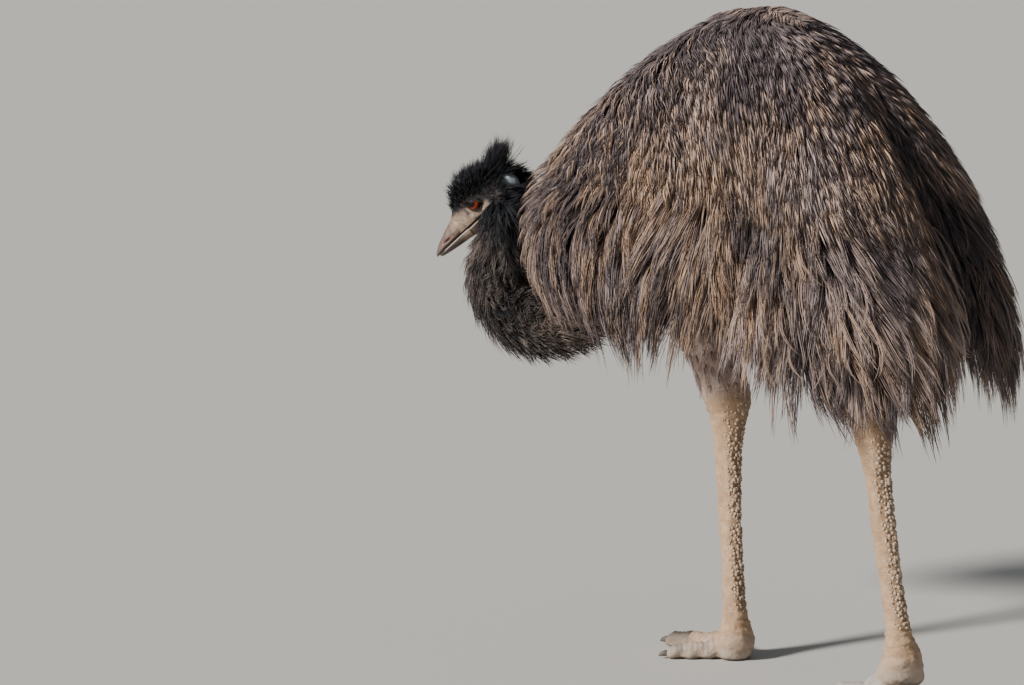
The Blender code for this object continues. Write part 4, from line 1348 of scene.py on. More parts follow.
def face_bare(points):
    """How bare the skin is: the face before and below the eye, and round the eye."""
    forward, _, up = head_local(points)
    spread, long, tall = eye_spread(forward + EYE_PLACE[1], up - EYE_PLACE[2])
    cheek = ramp(forward, -0.012, 0.000) * (1 - ramp(up, -0.008, 0.000)) * ramp(up, -0.036, -0.030)
    lore = ramp(forward, 0.030, 0.040) * (1 - ramp(up, 0.006, 0.016)) * ramp(up, -0.036, -0.030)
    ring = (1 - ramp(spread, 1.3, 2.1)) * (1 - ramp(tall, 0.001, 0.005))
    ring = ring * (1 - 0.6 * ramp(-long, 0.009, 0.016))
    return np.clip(np.maximum(np.maximum(cheek, lore), ring), 0, 1)


def head_hair(skin, name, count, seed):
    """Fine black bristles: long and upright on the crown, long behind it, short on the sides."""
    rng = np.random.default_rng(seed)

    def wanted(points):
        forward, across, up = head_local(points)
        on_head = ramp(forward, -0.080, -0.070) * (1 - ramp(forward, 0.050, 0.058))
        near = (np.abs(across) < 0.05) & (up > -0.058) & (up < 0.06) & (forward < 0.07)
        crown = 1 + 1.6 * ramp(up, 0.014, 0.030) + 1.5 * (1 - ramp(forward, -0.040, -0.015))
        covered = (1 - 0.84 * face_bare(points)) * (1 - ramp(blue_patch(points), 0.35, 0.6))
        return on_head * near * crown * covered

    spot, normal = mesh_samples(skin, count, rng, wanted)
    forward, across, up = head_local(spot)
    back = unit(np.array(HEAD_MATRIX.to_3x3() @ Vector((0, 1, 0))))
    top = unit(np.array(HEAD_MATRIX.to_3x3() @ Vector((0, 0, 1))))
    crown = ramp(up, 0.010, 0.026)
    behind = np.maximum(1 - ramp(forward, -0.046, -0.030), ramp(-0.73 * forward - 0.68 * up, 0.034, 0.046))
    rear = behind * (1 - crown) * ramp(up, -0.060, -0.050)
    off_blue = 1 - ramp(blue_patch(spot), 0.02, 0.25)
    tall = read_table(CROWN_LENGTHS, forward)
    low_side = 0.0085 + 0.0075 * (1 - ramp(forward, -0.020, 0.000))
    lengths = low_side + (tall - low_side) * crown + 0.024 * rear * off_blue
    bare = face_bare(spot)
    lengths *= rng.uniform(0.60, 1.12, count) * (1 - 0.62 * bare)
    stand = 0.20 + 0.75 * crown - 0.12 * bare
    lie = unit(back - normal * np.sum(normal * back, axis=1, keepdims=True))
    lie = unit(lie * (1 - rear)[:, None] + (back * 0.75 - top * 0.70) * rear[:, None])
    way = unit(lie * (1 - 0.62 * crown)[:, None] + normal * stand[:, None] + rng.normal(0, 0.17, (count, 3)))
    bend = unit(way + back * 0.45 + rng.normal(0, 0.22, (count, 3)))
    places, strands = 4, 3
    t = np.linspace(0, 1, places)
    lines = spot[:, None] - normal[:, None] * 0.0008
    lines = lines + (lengths[:, None] * t)[..., None] * way[:, None]
    lines = lines + (lengths[:, None] * t**2 * 0.4)[..., None] * (bend - way)[:, None]
    normals = np.repeat(unit(normal + top * 0.1)[:, None], places, 1)
    clear = np.nonzero(blue_patch(lines).max(1) < 0.3)[0]
    lines, normals, forward, across, crown, bare = (
        group[clear] for group in (lines, normals, forward, across, crown, bare))
    count = len(clear)
    fanned, above = tuft_lines(lines, normals, 0.0015 + 0.0012 * crown, strands, rng, 0.1, 0.8)
    widths = blade_widths(count * strands, places, HEAD_BLADE, rng)
    brown = (1 - crown) * ramp(forward, -0.030, 0.020)
    tone = rng.normal(0.04, 0.04, count) + 0.30 * brown + rng.uniform(0.1, 0.8, count) * bare
    tip = -0.30 * rng.uniform(size=count) * (0.2 + brown)
    roots = np.stack((0.5 + across * 4, 0.5 + forward * 6), -1)
    return tuft_mesh(name, fanned, above, widths, roots, tone, tip, 0.1 + 0.6 * brown)


def crest_hair(name, count, seed):
    """The loose fluffy tuft at the back of the crown."""
    rng = np.random.default_rng(seed)
    spread = rng.normal(0, 1.0, (count, 3)).clip(-1.8, 1.8)
    root = np.array((0.0, 0.041, 0.024)) + spread * np.array((0.010, 0.009, 0.005))
    aim = np.array((0.0, 0.080, 0.044)) + spread * np.array((0.013, 0.012, 0.010))
    aim = aim + rng.normal(0, 0.006, (count, 3))
    start, end = carried(root, HEAD_TO_WORLD), carried(aim, HEAD_TO_WORLD)
    places, strands = 4, 3
    t = np.linspace(0, 1, places)
    lines = start[:, None] + (end - start)[:, None] * t[:, None]
    wave = rng.normal(0, 0.0035, (count, 3))
    lines = lines + wave[:, None] * np.sin(np.pi * t)[:, None]
    normals = np.repeat(unit(rng.normal(size=(count, 3)))[:, None], places, 1)
    fanned, above = tuft_lines(lines, normals, 0.0034, strands, rng, 0.1, 1.0)
    widths = blade_widths(count * strands, places, CREST_BLADE, rng)
    roots = np.stack((0.5 + root[:, 0] * 4, np.full(count, 0.2)), -1)
    return tuft_mesh(name, fanned, above, widths, roots, 0.03, -0.10, 0.1)


def shin_tufts(name, count, seed):
    """Short sparse feathers on the drumsticks, down to the hock."""
    rng = np.random.default_rng(seed)
    all_lines, all_normals, all_roots = [], [], []
    places, strands = 4, 3
    t = np.linspace(0, 1, places)
    for index, leg in enumerate(LEGS.values()):
        _, hock, knee = leg_points(leg)
        share = 0.07 + 0.59 * rng.uniform(size=count) ** 0.80
        angle = rng.uniform(0, math.tau, count)
        length = np.linalg.norm(knee - hock)
        reach_down = rng.uniform(0.022, 0.040, count) * ramp(share, -0.10, 0.20)
        shares = share[:, None] - (reach_down / length)[:, None] * t
        along, forward, side = limb_axes(hock, knee)
        sizes = smooth_table(DRUMSTICK_LINE, shares)
        out = side * np.cos(angle)[:, None, None] + forward * np.sin(angle)[:, None, None]
        stretch = side * (np.cos(angle)[:, None] * sizes[..., 0])[..., None]
        stretch = stretch + forward * (np.sin(angle)[:, None] * sizes[..., 1])[..., None]
        lift = 0.0022 + rng.uniform(0.002, 0.008, count)[:, None] * t
        lines = hock + along * (shares * length)[..., None] + stretch + out * lift[..., None]
        all_lines.append(lines)
        all_normals.append(np.broadcast_to(out, lines.shape))
        all_roots.append(np.stack((angle / math.tau * 0.48 + 0.5 * index, share), -1))
    lines, normals, roots = (np.concatenate(group) for group in (all_lines, all_normals, all_roots))
    total = len(lines)
    fanned, above = tuft_lines(lines, normals, 0.0036, strands, rng, 0.2)
    widths = blade_widths(total * strands, places, SHIN_BLADE, rng)
    tone = rng.normal(0.98, 0.15, total)
    tip = rng.choice((-0.3, -0.3, 1.0), total)
    return tuft_mesh(name, fanned, above, widths, roots, tone, tip, 0.35)


def leg_scales(skin, material):
    """Raised granular scales down the back of each shank, and a few round its sides."""
    rng = np.random.default_rng(SCALE_SEED)
    corners = [point.co for point in skin.vertices]
    surface = BVHTree.FromPolygons(corners, [face.vertices for face in skin.polygons])
    spots, outs, downs, sizes, roots = [], [], [], [], []
    for index, leg in enumerate(LEGS.values()):
        ball, hock, _ = leg_points(leg)
        along, forward, side = limb_axes(ball, hock)
        length = np.linalg.norm(hock - ball)
        for row in range(SCALE_ROWS):
            for column in SCALE_COLUMNS:
                share = 0.10 + (row + 0.5 * (column % 2) + rng.uniform(-0.32, 0.32)) * SCALE_ROW_STEP
                angle = math.radians(column * SCALE_COLUMN_TURN + rng.uniform(-8, 8))
                if abs(column) == 3 and rng.uniform() < 0.4:
                    continue
                out = side * math.sin(angle) - forward * math.cos(angle)
                guess = ball + along * share * length + out * 0.024
                spot, normal, _, _ = surface.find_nearest(Vector(guess))
                small = (1 - 0.13 * abs(column)) * (1 - 0.20 * float(ramp(share, 0.80, 1.02)))
                small *= 1 - 0.35 * (1 - float(ramp(share, 0.10, 0.20)))
                spots.append(tuple(spot))
                outs.append(np.array(normal))
                downs.append(-along)
                sizes.append(rng.uniform(*SCALE_SIZES) * small)
                roots.append((0.25 + 0.5 * index + column * 0.02, share / 1.1, 0.0))
    outs, downs = np.array(outs), np.array(downs)
    across = unit(np.cross(downs, outs))
    downs = np.cross(outs, across)
    turns = [Matrix(axes).transposed().to_euler() for axes in zip(across, downs, outs)]
    seats = bpy.data.meshes.new("seats")
    seats.from_pydata(spots, [], [])
    paint(seats, "turn", turns, "FLOAT_VECTOR")
    paint(seats, "root", roots, "FLOAT_VECTOR")
    paint(seats, "size", sizes)
    paint(seats, "pale", rng.uniform(0, 1, len(spots)))
    mesh = with_modifier(seats, "NODES", {"node_group": scale_nodes(material)})
    mesh.shade_smooth()
    return mesh


# Colours, those of a mottled finish as a dark and a light one. Several stand for painted shade, and the
# shin's skin is partly painted light

BLACK, DARK_TIP = (0.0, 0.0, 0.0), (0.042, 0.034, 0.040)
# Darkest, palest and warmest feathers, pale tips, and how much light is left at the root
BODY_PLUMAGE = ((0.094, 0.074, 0.081), (0.480, 0.385, 0.370), (0.600, 0.400, 0.268), (0.46, 0.38, 0.32), 0.48)
NECK_PLUMAGE = ((0.009, 0.011, 0.017), (0.300, 0.240, 0.215), (0.330, 0.235, 0.175), (0.26, 0.21, 0.18), 0.35)
DOWN = ((0.012, 0.010, 0.010), (0.080, 0.058, 0.044))
HEAD_SKIN = ((0.016, 0.017, 0.021), (0.030, 0.033, 0.042))
FACE_SKIN = ((0.250, 0.180, 0.130), (0.440, 0.335, 0.250))
# Pores of the face, and the dark lid rims, whose colour is also painted shade at the eye's front corner
FACE_PORES, LID_RIM_AND_CORNER_SHADE = (0.120, 0.080, 0.060), (0.020, 0.017, 0.017)
BLUE_SKIN = ((0.330, 0.450, 0.540), (0.620, 0.720, 0.780))
# Painted shade along the gape, and the pale edge below it
GAPE_SHADE, GAPE_EDGE = (0.040, 0.024, 0.028), (0.560, 0.470, 0.400)
LEG_SKIN = ((0.455, 0.288, 0.170), (0.610, 0.415, 0.262))
# Skin above the hock: pale pink, and painted paler still as light on it
SHIN_SKIN_AND_LIGHT = ((0.620, 0.440, 0.370), (0.860, 0.680, 0.600))
# Specks on the shins, and painted shade between the scales behind the shanks
SHIN_SPECKS, SHADE_BETWEEN_SCALES = (0.340, 0.200, 0.165), (0.240, 0.150, 0.095)
FOOT_SKIN = ((0.355, 0.295, 0.240), (0.600, 0.515, 0.440))
# Grey tops of the toes, and painted shade on the underside of the feet
TOE_TOP, SOLE_SHADE = (0.460, 0.455, 0.470), (0.120, 0.080, 0.055)
SCALE_TONES, SCALE_GRIME = ((0.400, 0.285, 0.195), (0.600, 0.470, 0.350)), (0.200, 0.150, 0.110)
# Horn of each half of the bill: its two tones and the tone along the gape, painted shade under the upper
# bill's edge and a pale edge on the lower bill
UPPER_HORN = ((0.105, 0.068, 0.056), (0.215, 0.150, 0.118), (0.026, 0.016, 0.020))
LOWER_HORN = ((0.075, 0.052, 0.046), (0.130, 0.095, 0.080), (0.400, 0.330, 0.290))
HORN_MIDDLE, HORN_TIP = (0.095, 0.070, 0.066), (0.210, 0.175, 0.155)
# The nostril's reddish rim, and painted shade inside the nostril
NOSTRIL_RIM, NOSTRIL_SHADE = (0.260, 0.100, 0.080), (0.014, 0.006, 0.006)
IRIS, IRIS_EDGE = ((0.110, 0.014, 0.005), (0.270, 0.040, 0.010)), (0.060, 0.010, 0.005)
# The white of the eye, the pupil, and painted shade for the eye's front corner
EYE_WHITE, PUPIL, EYE_CORNER_SHADE = (0.020, 0.014, 0.012), (0.002, 0.002, 0.002), (0.006, 0.004, 0.004)
CLAW_TONES = ((0.045, 0.038, 0.034), (0.150, 0.125, 0.105))


# Materials: a small wrapper lets sockets be added, subtracted and multiplied like numbers

class Value:
    def __init__(self, tree, socket):
        self.tree, self.socket = tree, socket

    def math(self, operation, *values):
        node = self.tree.nodes.new("ShaderNodeMath")
        node.operation = operation
        for index, value in enumerate((self,) + values):
            feed(self.tree, node.inputs[index], value)
        return Value(self.tree, node.outputs[0])

    def __add__(self, other):
        return self.math("ADD", other)

    def __sub__(self, other):
        return self.math("SUBTRACT", other)

    def __mul__(self, other):
        return self.math("MULTIPLY", other)

    def ramp(self, low, high):
        node = self.tree.nodes.new("ShaderNodeMapRange")
        node.interpolation_type = "SMOOTHSTEP"
        for key, value in (("Value", self), ("From Min", low), ("From Max", high)):
            feed(self.tree, node.inputs[key], value)
        return Value(self.tree, node.outputs["Result"])


def feed(tree, socket, value):
    """Link a socket to a wrapped one, or set it to a plain value."""
    if isinstance(value, Value):
        tree.links.new(value.socket, socket)
    elif isinstance(value, tuple) and len(value) == 3 and socket.type == "RGBA":
        socket.default_value = value + (1.0,)
    else:
        socket.default_value = value


def add_node(tree, kind, settings=None, output=0, **inputs):
    """Any node: its settings first, then its sockets' values and links."""
    node = tree.nodes.new(kind if "Node" in kind else "ShaderNode" + kind)
    for key, value in (settings or {}).items():
        setattr(node, key, value)
    for key, value in inputs.items():
        feed(tree, node.inputs[key.replace("_", " ")], value)
    return Value(tree, node.outputs[output])


# Sockets of a Mix node that mixes colours: factor, first and second colour, and what comes out
MIX_FACTOR, MIX_FIRST, MIX_SECOND, MIX_RESULT = 0, 6, 7, 2


def mix_colour(tree, factor, first, second):
    node = tree.nodes.new("ShaderNodeMix")
    node.data_type = "RGBA"
    feed(tree, node.inputs[MIX_FACTOR], factor)
    feed(tree, node.inputs[MIX_FIRST], first)
    feed(tree, node.inputs[MIX_SECOND], second)
    return Value(tree, node.outputs[MIX_RESULT])


def vector_sum(tree, first, second):
    node = tree.nodes.new("ShaderNodeVectorMath")
    feed(tree, node.inputs[0], first)
    feed(tree, node.inputs[1], second)
    return Value(tree, node.outputs[0])


def new_material(name, **constants):
    """A material with constants on its shader, and the object's own coordinates to place marks by."""
    material = bpy.data.materials.new(name)
    material.use_nodes = True
    tree = material.node_tree
    shader = tree.nodes["Principled BSDF"]
    for key, value in constants.items():
        feed(tree, shader.inputs[key.replace("_", " ")], value)
    place = add_node(tree, "TexCoord", output="Object")
    return material, tree, shader, place


def attribute(tree, name):
    return add_node(tree, "Attribute", {"attribute_name": name}, output="Fac")


def bump(tree, shader, height, distance, strength=1.0):
    made = add_node(tree, "Bump", Strength=strength, Distance=distance, Height=height)
    feed(tree, shader.inputs["Normal"], made)


def plumage_material(name, darkest, palest, warmest, pale_end, root_shade):
    """Feathers in their own tones, shaded at the root and with a dark or a pale tip."""
    material, tree, shader, place = new_material(name, Roughness=0.60, Specular_IOR_Level=0.30)
    along, tone = attribute(tree, "along"), attribute(tree, "tone")
    tip, warm = attribute(tree, "tip"), attribute(tree, "warm")
    grain = add_node(tree, "TexNoise", Vector=place, Scale=420.0, Detail=2.0)
    tone_here = tone + (grain - 0.5) * 0.35
    pale = mix_colour(tree, warm, palest, warmest)
    colour = mix_colour(tree, tone_here.ramp(0.0, 1.0), darkest, pale)
    at_root = along.ramp(0.0, 0.55)
    colour = mix_colour(tree, at_root * (1 - root_shade) + root_shade, BLACK, colour)
    at_tip = along.ramp(0.62, 0.95)
    colour = mix_colour(tree, (at_tip * tip).math("MAXIMUM", 0.0) * 0.85, colour, DARK_TIP)
    pale_tip = (at_tip * tip * -1).math("MAXIMUM", 0.0)
    colour = mix_colour(tree, pale_tip, colour, pale_end)
    feed(tree, shader.inputs["Base Color"], colour)
    return material


def skin_material():
    """One material for all of the skin, laid on in turn where the skin's marks say."""
    material, tree, shader, place = new_material("skin", Specular_IOR_Level=0.32)
    tone = attribute(tree, "tone")
    coat = mix_colour(tree, tone, *DOWN)
    fine = add_node(tree, "TexNoise", Vector=place, Scale=300.0, Detail=4.0)
    broad = add_node(tree, "TexNoise", Vector=place, Scale=60.0, Detail=3.0)
    head = mix_colour(tree, fine, *HEAD_SKIN)
    face = mix_colour(tree, broad.ramp(0.3, 0.7), *FACE_SKIN)
    blue = mix_colour(tree, fine, *BLUE_SKIN)
    leg = mix_colour(tree, broad.ramp(0.25, 0.75), *LEG_SKIN)
    foot = mix_colour(tree, fine, *FOOT_SKIN)
    colour = mix_colour(tree, attribute(tree, "head"), coat, head)
    face = mix_colour(tree, fine.ramp(0.52, 0.72) * 0.45, face, FACE_PORES)
    colour = mix_colour(tree, attribute(tree, "face"), colour, face)
    # Dark lid rims, with painted shade on the skin at the eye's front corner
    colour = mix_colour(tree, attribute(tree, "lid"), colour, LID_RIM_AND_CORNER_SHADE)
    colour = mix_colour(tree, attribute(tree, "blue"), colour, blue)
    # Painted shade along the gape, under the upper bill's edge
    colour = mix_colour(tree, attribute(tree, "line").ramp(0.2, 0.7), colour, GAPE_SHADE)
    colour = mix_colour(tree, attribute(tree, "pale_line") * 0.6, colour, GAPE_EDGE)
    colour = mix_colour(tree, attribute(tree, "leg"), colour, leg)
    # Skin above the hock in its own pink, made paler with painted light
    shin = mix_colour(tree, broad.ramp(0.35, 0.65), *SHIN_SKIN_AND_LIGHT)
    shin = mix_colour(tree, fine.ramp(0.52, 0.66) * 0.4, shin, SHIN_SPECKS)
    colour = mix_colour(tree, attribute(tree, "shin"), colour, shin)
    # Painted shade between the scales down the back of each shank
    colour = mix_colour(tree, attribute(tree, "granular") * 0.50, colour, SHADE_BETWEEN_SCALES)
    colour = mix_colour(tree, attribute(tree, "foot"), colour, foot)
    colour = mix_colour(tree, attribute(tree, "toe_top") * 0.6, colour, TOE_TOP)
    # Painted shade under the feet
    colour = mix_colour(tree, attribute(tree, "sole") * 0.85, colour, SOLE_SHADE)
    feed(tree, shader.inputs["Base Color"], colour)
    feed(tree, shader.inputs["Roughness"], fine * 0.25 + 0.50)
    cells = add_node(tree, "TexVoronoi", {"feature": "DISTANCE_TO_EDGE"}, Vector=place, Scale=330.0)
    creases = cells.ramp(0.0, 0.14) * 0.7 + fine * 0.8
    bump(tree, shader, creases, 0.0011)
    return material


def named_values(tree, name, kind="FLOAT_VECTOR"):
    return add_node(tree, "GeometryNodeInputNamedAttribute", {"data_type": kind}, Name=name)


# The shape of one scale, in its own half widths
SCALE_SHAPE = (("Length", 1.15), ("Height", 0.62), ("Rise", 0.20), ("Lean", 0.32), ("Patch", PATCH / 2))


def scale_nodes(material):
    """Geometry nodes that seat a small domed shell, leaning down the leg, on every point of a mesh."""
    tree = bpy.data.node_groups.new("scale_shells", "GeometryNodeTree")
    tree.interface.new_socket("Seats", in_out="INPUT", socket_type="NodeSocketGeometry")
    for name, value in SCALE_SHAPE:
        socket = tree.interface.new_socket(name, in_out="INPUT", socket_type="NodeSocketFloat")
        socket.default_value = value
    tree.interface.new_socket("Shells", in_out="OUTPUT", socket_type="NodeSocketGeometry")
    entry, leave = tree.nodes.new("NodeGroupInput"), tree.nodes.new("NodeGroupOutput")
    given = {socket.name: Value(tree, socket) for socket in entry.outputs}
    ball = add_node(tree, "GeometryNodeMeshUVSphere", Segments=7, Rings=4, Radius=1.0)
    place = add_node(tree, "GeometryNodeInputPosition")
    x, y, z = (add_node(tree, "SeparateXYZ", output=axis, Vector=place) for axis in "XYZ")
    shape = add_node(tree, "CombineXYZ", X=x, Y=y * given["Length"] + z * given["Lean"],
                     Z=z * given["Height"] + given["Rise"])
    shell = add_node(tree, "GeometryNodeSetPosition", Geometry=ball, Position=shape)
    patch = add_node(tree, "CombineXYZ", X=x * given["Patch"], Y=y * given["Patch"])
    on_points = {"data_type": "FLOAT_VECTOR", "domain": "POINT"}
    shell = add_node(tree, "GeometryNodeStoreNamedAttribute", on_points,
                     Geometry=shell, Name="patch", Value=patch)
    rotation = add_node(tree, "FunctionNodeEulerToRotation", Euler=named_values(tree, "turn"))
    shells = add_node(tree, "GeometryNodeInstanceOnPoints", Points=given["Seats"], Instance=shell,
                      Rotation=rotation, Scale=named_values(tree, "size", "FLOAT"))
    shells = add_node(tree, "GeometryNodeRealizeInstances", Geometry=shells)
    spot = vector_sum(tree, named_values(tree, "root"), named_values(tree, "patch"))
    on_corners = {"data_type": "FLOAT2", "domain": "CORNER"}
    shells = add_node(tree, "GeometryNodeStoreNamedAttribute", on_corners,
                      Geometry=shells, Name="OFBake", Value=spot)
    shells = add_node(tree, "GeometryNodeSetMaterial", Geometry=shells, Material=material)
    feed(tree, leave.inputs[0], shells)
    return tree


def scale_material():
    material, tree, shader, place = new_material("leg_scale", Roughness=0.55, Specular_IOR_Level=0.35)
    fine = add_node(tree, "TexNoise", Vector=place, Scale=700.0, Detail=3.0)
    pale = attribute(tree, "pale")
    colour = mix_colour(tree, pale, *SCALE_TONES)
    colour = mix_colour(tree, fine.ramp(0.35, 0.75) * 0.5, colour, SCALE_GRIME)
    feed(tree, shader.inputs["Base Color"], colour)
    bump(tree, shader, fine, 0.0003, 0.6)
    return material


def bill_material(name, dark_horn, pale_horn, pale_edge_and_gape_shade):
    material, tree, shader, place = new_material(name, Specular_IOR_Level=0.40)
    hole, edge = attribute(tree, "hole"), attribute(tree, "edge")
    forward = attribute(tree, "forward")
    grain = add_node(tree, "TexNoise", Vector=place, Scale=260.0, Detail=5.0)
    streak = add_node(tree, "TexNoise", Vector=place, Scale=110.0, Detail=5.0, Roughness=0.65)
    horn = mix_colour(tree, streak.ramp(0.3, 0.7), dark_horn, pale_horn)
    horn = mix_colour(tree, forward.ramp(0.42, 0.80) * 0.70, horn, HORN_MIDDLE)
    horn = mix_colour(tree, forward.ramp(0.90, 1.0) * 0.6, horn, HORN_TIP)
    base = mix_colour(tree, streak.ramp(0.3, 0.7), *FACE_SKIN)
    horn = mix_colour(tree, forward.ramp(0.06, 0.32), base, horn)
    # Along the gape: painted shade on the upper bill, a pale edge on the lower one
    colour = mix_colour(tree, edge.ramp(0.25, 0.70) * 0.9, horn, pale_edge_and_gape_shade)
    colour = mix_colour(tree, hole.ramp(0.04, 0.20), colour, NOSTRIL_RIM)
    # Painted shade inside the nostril's shallow dent
    colour = mix_colour(tree, hole.ramp(0.20, 0.42), colour, NOSTRIL_SHADE)
    feed(tree, shader.inputs["Base Color"], colour)
    feed(tree, shader.inputs["Roughness"], grain * 0.25 + 0.36)
    bump(tree, shader, grain, 0.0003, 0.5)
    return material


def eye_material():
    material, tree, shader, place = new_material(
        "eye", Roughness=0.35, Specular_IOR_Level=0.12, Coat_Roughness=0.06)
    off = attribute(tree, "off_gaze")
    fibres = add_node(tree, "TexNoise", Vector=place, Scale=900.0, Detail=3.0)
    iris = mix_colour(tree, fibres.ramp(0.3, 0.7), *IRIS)
    iris = mix_colour(tree, off.ramp(0.60, 0.84), iris, IRIS_EDGE)
    white = mix_colour(tree, off.ramp(0.84, 0.92), iris, EYE_WHITE)
    colour = mix_colour(tree, off.ramp(0.35, 0.41), PUPIL, white)
    # Painted shade in the eye's front corner, where the clear coat is thinned too
    colour = mix_colour(tree, attribute(tree, "corner") * 0.95, colour, EYE_CORNER_SHADE)
    feed(tree, shader.inputs["Base Color"], colour)
    feed(tree, shader.inputs["Coat Weight"], attribute(tree, "corner") * -0.25 + 0.25)
    return material


def claw_material():
    material, tree, shader, place = new_material("claw", Specular_IOR_Level=0.4)
    grain = add_node(tree, "TexNoise", Vector=place, Scale=350.0, Detail=4.0)
    colour = mix_colour(tree, grain, *CLAW_TONES)
    feed(tree, shader.inputs["Base Color"], colour)
    feed(tree, shader.inputs["Roughness"], grain * 0.3 + 0.35)
    bump(tree, shader, grain, 0.0003, 0.5)
    return material


def floor_material():
    material, _, shader, _ = new_material("floor", Roughness=0.85, Specular_IOR_Level=0.2)
    shader.inputs["Base Color"].default_value = FLOOR_COLOUR
    return material


def paint_skin(mesh):
    """Mark every point of the skin with how much of each finish, and of painted shade and painted light, it
    shows.
    """
    points, normals = points_of(mesh), normals_of(mesh)
    forward, across, up = head_local(points)
    near_head = ramp(forward, -0.085, -0.070) * (np.abs(across) < 0.06) * (up > -0.07) * (up < 0.08)
    bare = face_bare(points) * near_head * ramp(forward, -0.024, -0.008)
    ear = bell(forward, -0.026, 0.010) * bell(up, -0.006, 0.010) * near_head
    spread, long, _ = eye_spread(forward + EYE_PLACE[1], up - EYE_PLACE[2])
    # Painted shade on the skin at the front corner of the eye
    corner = bell(long, EYE_FRONT + 0.001, 0.004) * (1 - ramp(spread, 1.2, 1.9))
    on_line = ramp(forward, 0.004, 0.010) * near_head * (forward < 0.08)
    # Painted shade along the gape, over its groove; a pale edge lies below it
    line = bell(up, GAPE_LEVEL + 0.0009, 0.0023) * on_line
    pale_line = bell(up, GAPE_LEVEL - 0.0026, 0.0012) * on_line
    leg, foot, shin, granular = np.zeros((4, len(points)))
    for item in LEGS.values():
        ball, hock, _ = leg_points(item)
        along = hock - ball
        length = np.linalg.norm(along)
        share = (points - ball) @ along / length**2
        offset = points - ball - share[:, None] * along
        off = np.linalg.norm(offset, axis=1)
        near = (off < 0.085) * (1 - ramp(points[:, 2], 0.50, 0.56))
        leg = np.maximum(leg, near)
        # Above the hock: pale pink skin, partly painted light
        shin = np.maximum(shin, near * ramp(share, 0.97, 1.08))
        # Painted shade between the scales down the back of each shank
        behind = ramp(offset[:, 1] / np.maximum(off, 1e-6), 0.30, 0.75)
        behind = behind * ramp(share, 0.08, 0.16) * (1 - ramp(share, 1.06, 1.14))
        granular = np.maximum(granular, near * behind)
        around_foot = np.linalg.norm((points - ball)[:, :2], axis=1) < 0.22
        foot = np.maximum(foot, around_foot * (1 - ramp(share, -0.12, 0.03)) * (points[:, 2] < 0.12))
    marks = {
        "tone": patchiness(points),
        "head": near_head,
        "face": np.clip(bare + 0.25 * ear, 0, 1),
        "lid": near_head * np.clip(1 - ramp(spread, 1.05, 1.30) + corner, 0, 1),
        "blue": blue_patch(points),
        "line": line,
        "pale_line": pale_line,
        "leg": np.maximum(leg, foot),
        "shin": shin,
        "granular": granular,
        "foot": foot * 0.85,
        "toe_top": foot * ramp(normals[:, 2], 0.1, 0.7) * (points[:, 2] < 0.075),
        # Painted shade on the underside of the feet
        "sole": foot * ramp(-normals[:, 2], 0.2, 0.7),
    }
    for name, values in marks.items():
        paint(mesh, name, values)


# The scene round the bird

def place_camera():
    data = bpy.data.cameras.new("camera")
    data.sensor_fit, data.sensor_width = "HORIZONTAL", FILM_WIDTH
    data.lens = FOCAL_PIXELS / PHOTO_WIDTH * FILM_WIDTH
    data.clip_start, data.clip_end = 0.1, 200.0
    camera = new_object("camera", data)
    sine, cosine = math.sin(CAMERA_TURN), math.cos(CAMERA_TURN)
    camera.location = (CAMERA_DISTANCE * sine, SHIFT[1] - CAMERA_DISTANCE * cosine, CAMERA_HEIGHT)
    ahead = Vector((-sine, cosine, 0.0))
    ahead.rotate(Matrix.Rotation(CAMERA_YAW, 3, "Z"))
    level = math.cos(CAMERA_PITCH)
    way = Vector((ahead.x * level, ahead.y * level, math.sin(CAMERA_PITCH)))
    camera.rotation_euler = way.to_track_quat("-Z", "Y").to_euler()
    bpy.context.scene.camera = camera


def build_stage():
    mesh = primitive("floor", bmesh.ops.create_grid, x_segments=1, y_segments=1, size=FLOOR_SIZE)
    floor = new_object("floor", mesh)
    mesh.materials.append(floor_material())
    sun = bpy.data.lights.new("key", "SUN")
    sun.energy, sun.angle, sun.color = SUN_STRENGTH, SUN_WIDTH, SUN_COLOUR
    key = new_object("key", sun)
    key.rotation_euler = Vector(SUN_WAY).to_track_quat("-Z", "Y").to_euler()
    world = bpy.data.worlds.new("world")
    world.use_nodes = True
    sky = world.node_tree.nodes["Background"]
    sky.inputs["Color"].default_value = SKY_COLOUR
    sky.inputs["Strength"].default_value = SKY_STRENGTH
    bpy.context.scene.world = world


def finish_piece(name, mesh, material, replaced=()):
    """Make a mesh a piece of the bird, in place of the solids it replaces."""
    mesh.materials.clear()
    mesh.materials.append(material)
    mesh.name = name
    item = new_object(name, mesh)
    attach(item, "root")
    if replaced:
        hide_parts(*replaced)


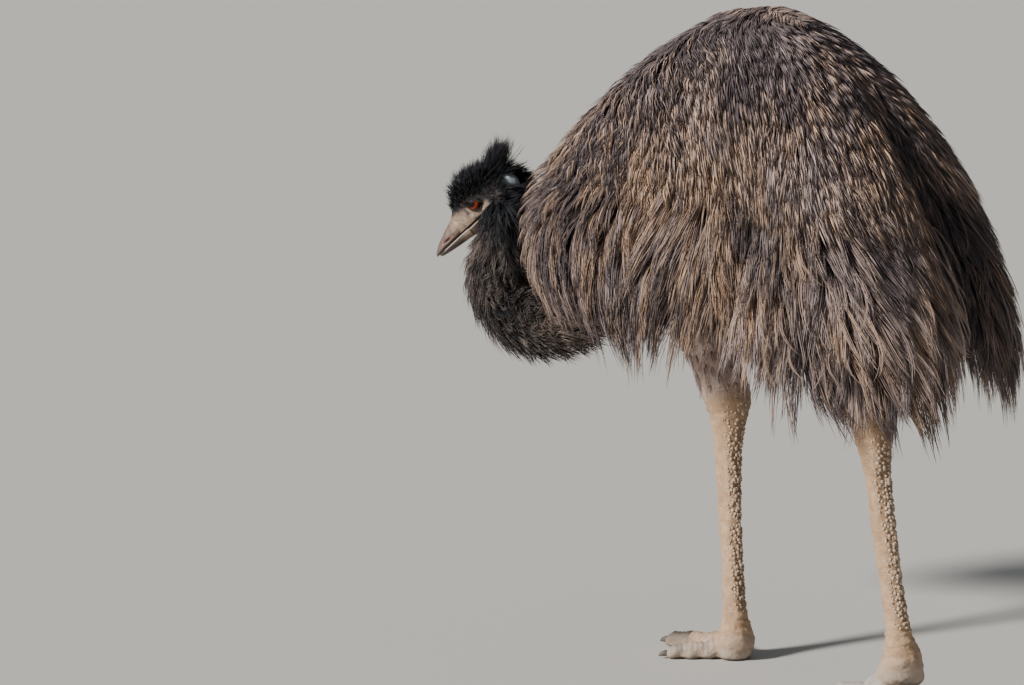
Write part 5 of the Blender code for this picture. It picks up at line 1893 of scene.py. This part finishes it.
def grow_coat(skin):
    """Every piece of the coat, and the scales on the legs."""
    plumage = plumage_material("plumage", *BODY_PLUMAGE)
    neck_plumage = plumage_material("neck_plumage", *NECK_PLUMAGE)
    for index, (sector, low, high) in enumerate(COAT_SECTORS):
        keep = between(low, high)
        name = "coat_back_" + sector
        finish_piece(name, back_tufts(name, BACK_COUNT, BACK_SEED + index, keep), plumage)
        name = "coat_skirt_" + sector
        finish_piece(name, skirt_tufts(name, SKIRT_COUNT, SKIRT_SEED + index, keep), plumage)
    # name, what grows it, number of tufts, seed, material, slot
    further = (
        ("coat_ridge", ridge_tufts, 180, 106, plumage, "coat"),
        ("coat_plumes", plumes, 110, 107, plumage, "coat"),
        ("coat_under", under_tufts, 540, 121, plumage, "coat"),
        ("coat_neck", neck_tufts, 2650, 122, neck_plumage, "neck_coat"),
        ("coat_head", partial(head_hair, skin), 2900, 123, neck_plumage, "head_coat"),
        ("coat_crest", crest_hair, 420, 124, neck_plumage, "head_coat"),
        ("coat_shins", shin_tufts, 420, 125, plumage, "coat"),
    )
    for name, grow, count, seed, material, slot in further:
        finish_piece(name, grow(name, count, seed), material)
    granules = scale_material()
    finish_piece("leg_scales", leg_scales(skin, granules), granules)


def main():
    build_stage()
    place_camera()

    skin = skin_mesh()
    paint_skin(skin)
    flesh = ["head", "neck_lower", "neck_middle", "neck_upper", "trunk", "tail"]
    for part in ("wing", "thigh", "drumstick", "shank", "foot", "toe_inner", "toe_middle", "toe_outer"):
        flesh += [part + "_left", part + "_right"]
    finish_piece("skin", skin, skin_material(), flesh)

    grow_coat(skin)

    eye = eye_material()
    for side_name, side in (("left", 1), ("right", -1)):
        finish_piece("eyeball_" + side_name, eye_mesh(side), eye, ["eye_" + side_name])
    upper_horn = bill_material("upper_horn", *UPPER_HORN)
    lower_horn = bill_material("lower_horn", *LOWER_HORN)
    finish_piece("upper_bill", bill_mesh("upper_bill", UPPER_BILL, True), upper_horn, ["bill_upper"])
    finish_piece("lower_bill", bill_mesh("lower_bill", LOWER_BILL, False), lower_horn, ["bill_lower"])
    claw = claw_material()
    for foot, leg in LEGS.items():
        for toe in leg["toes"]:
            name = "nail_" + toe + "_" + foot
            finish_piece(name, claw_mesh(leg, toe), claw, ["claw_" + toe + "_" + foot])


main()
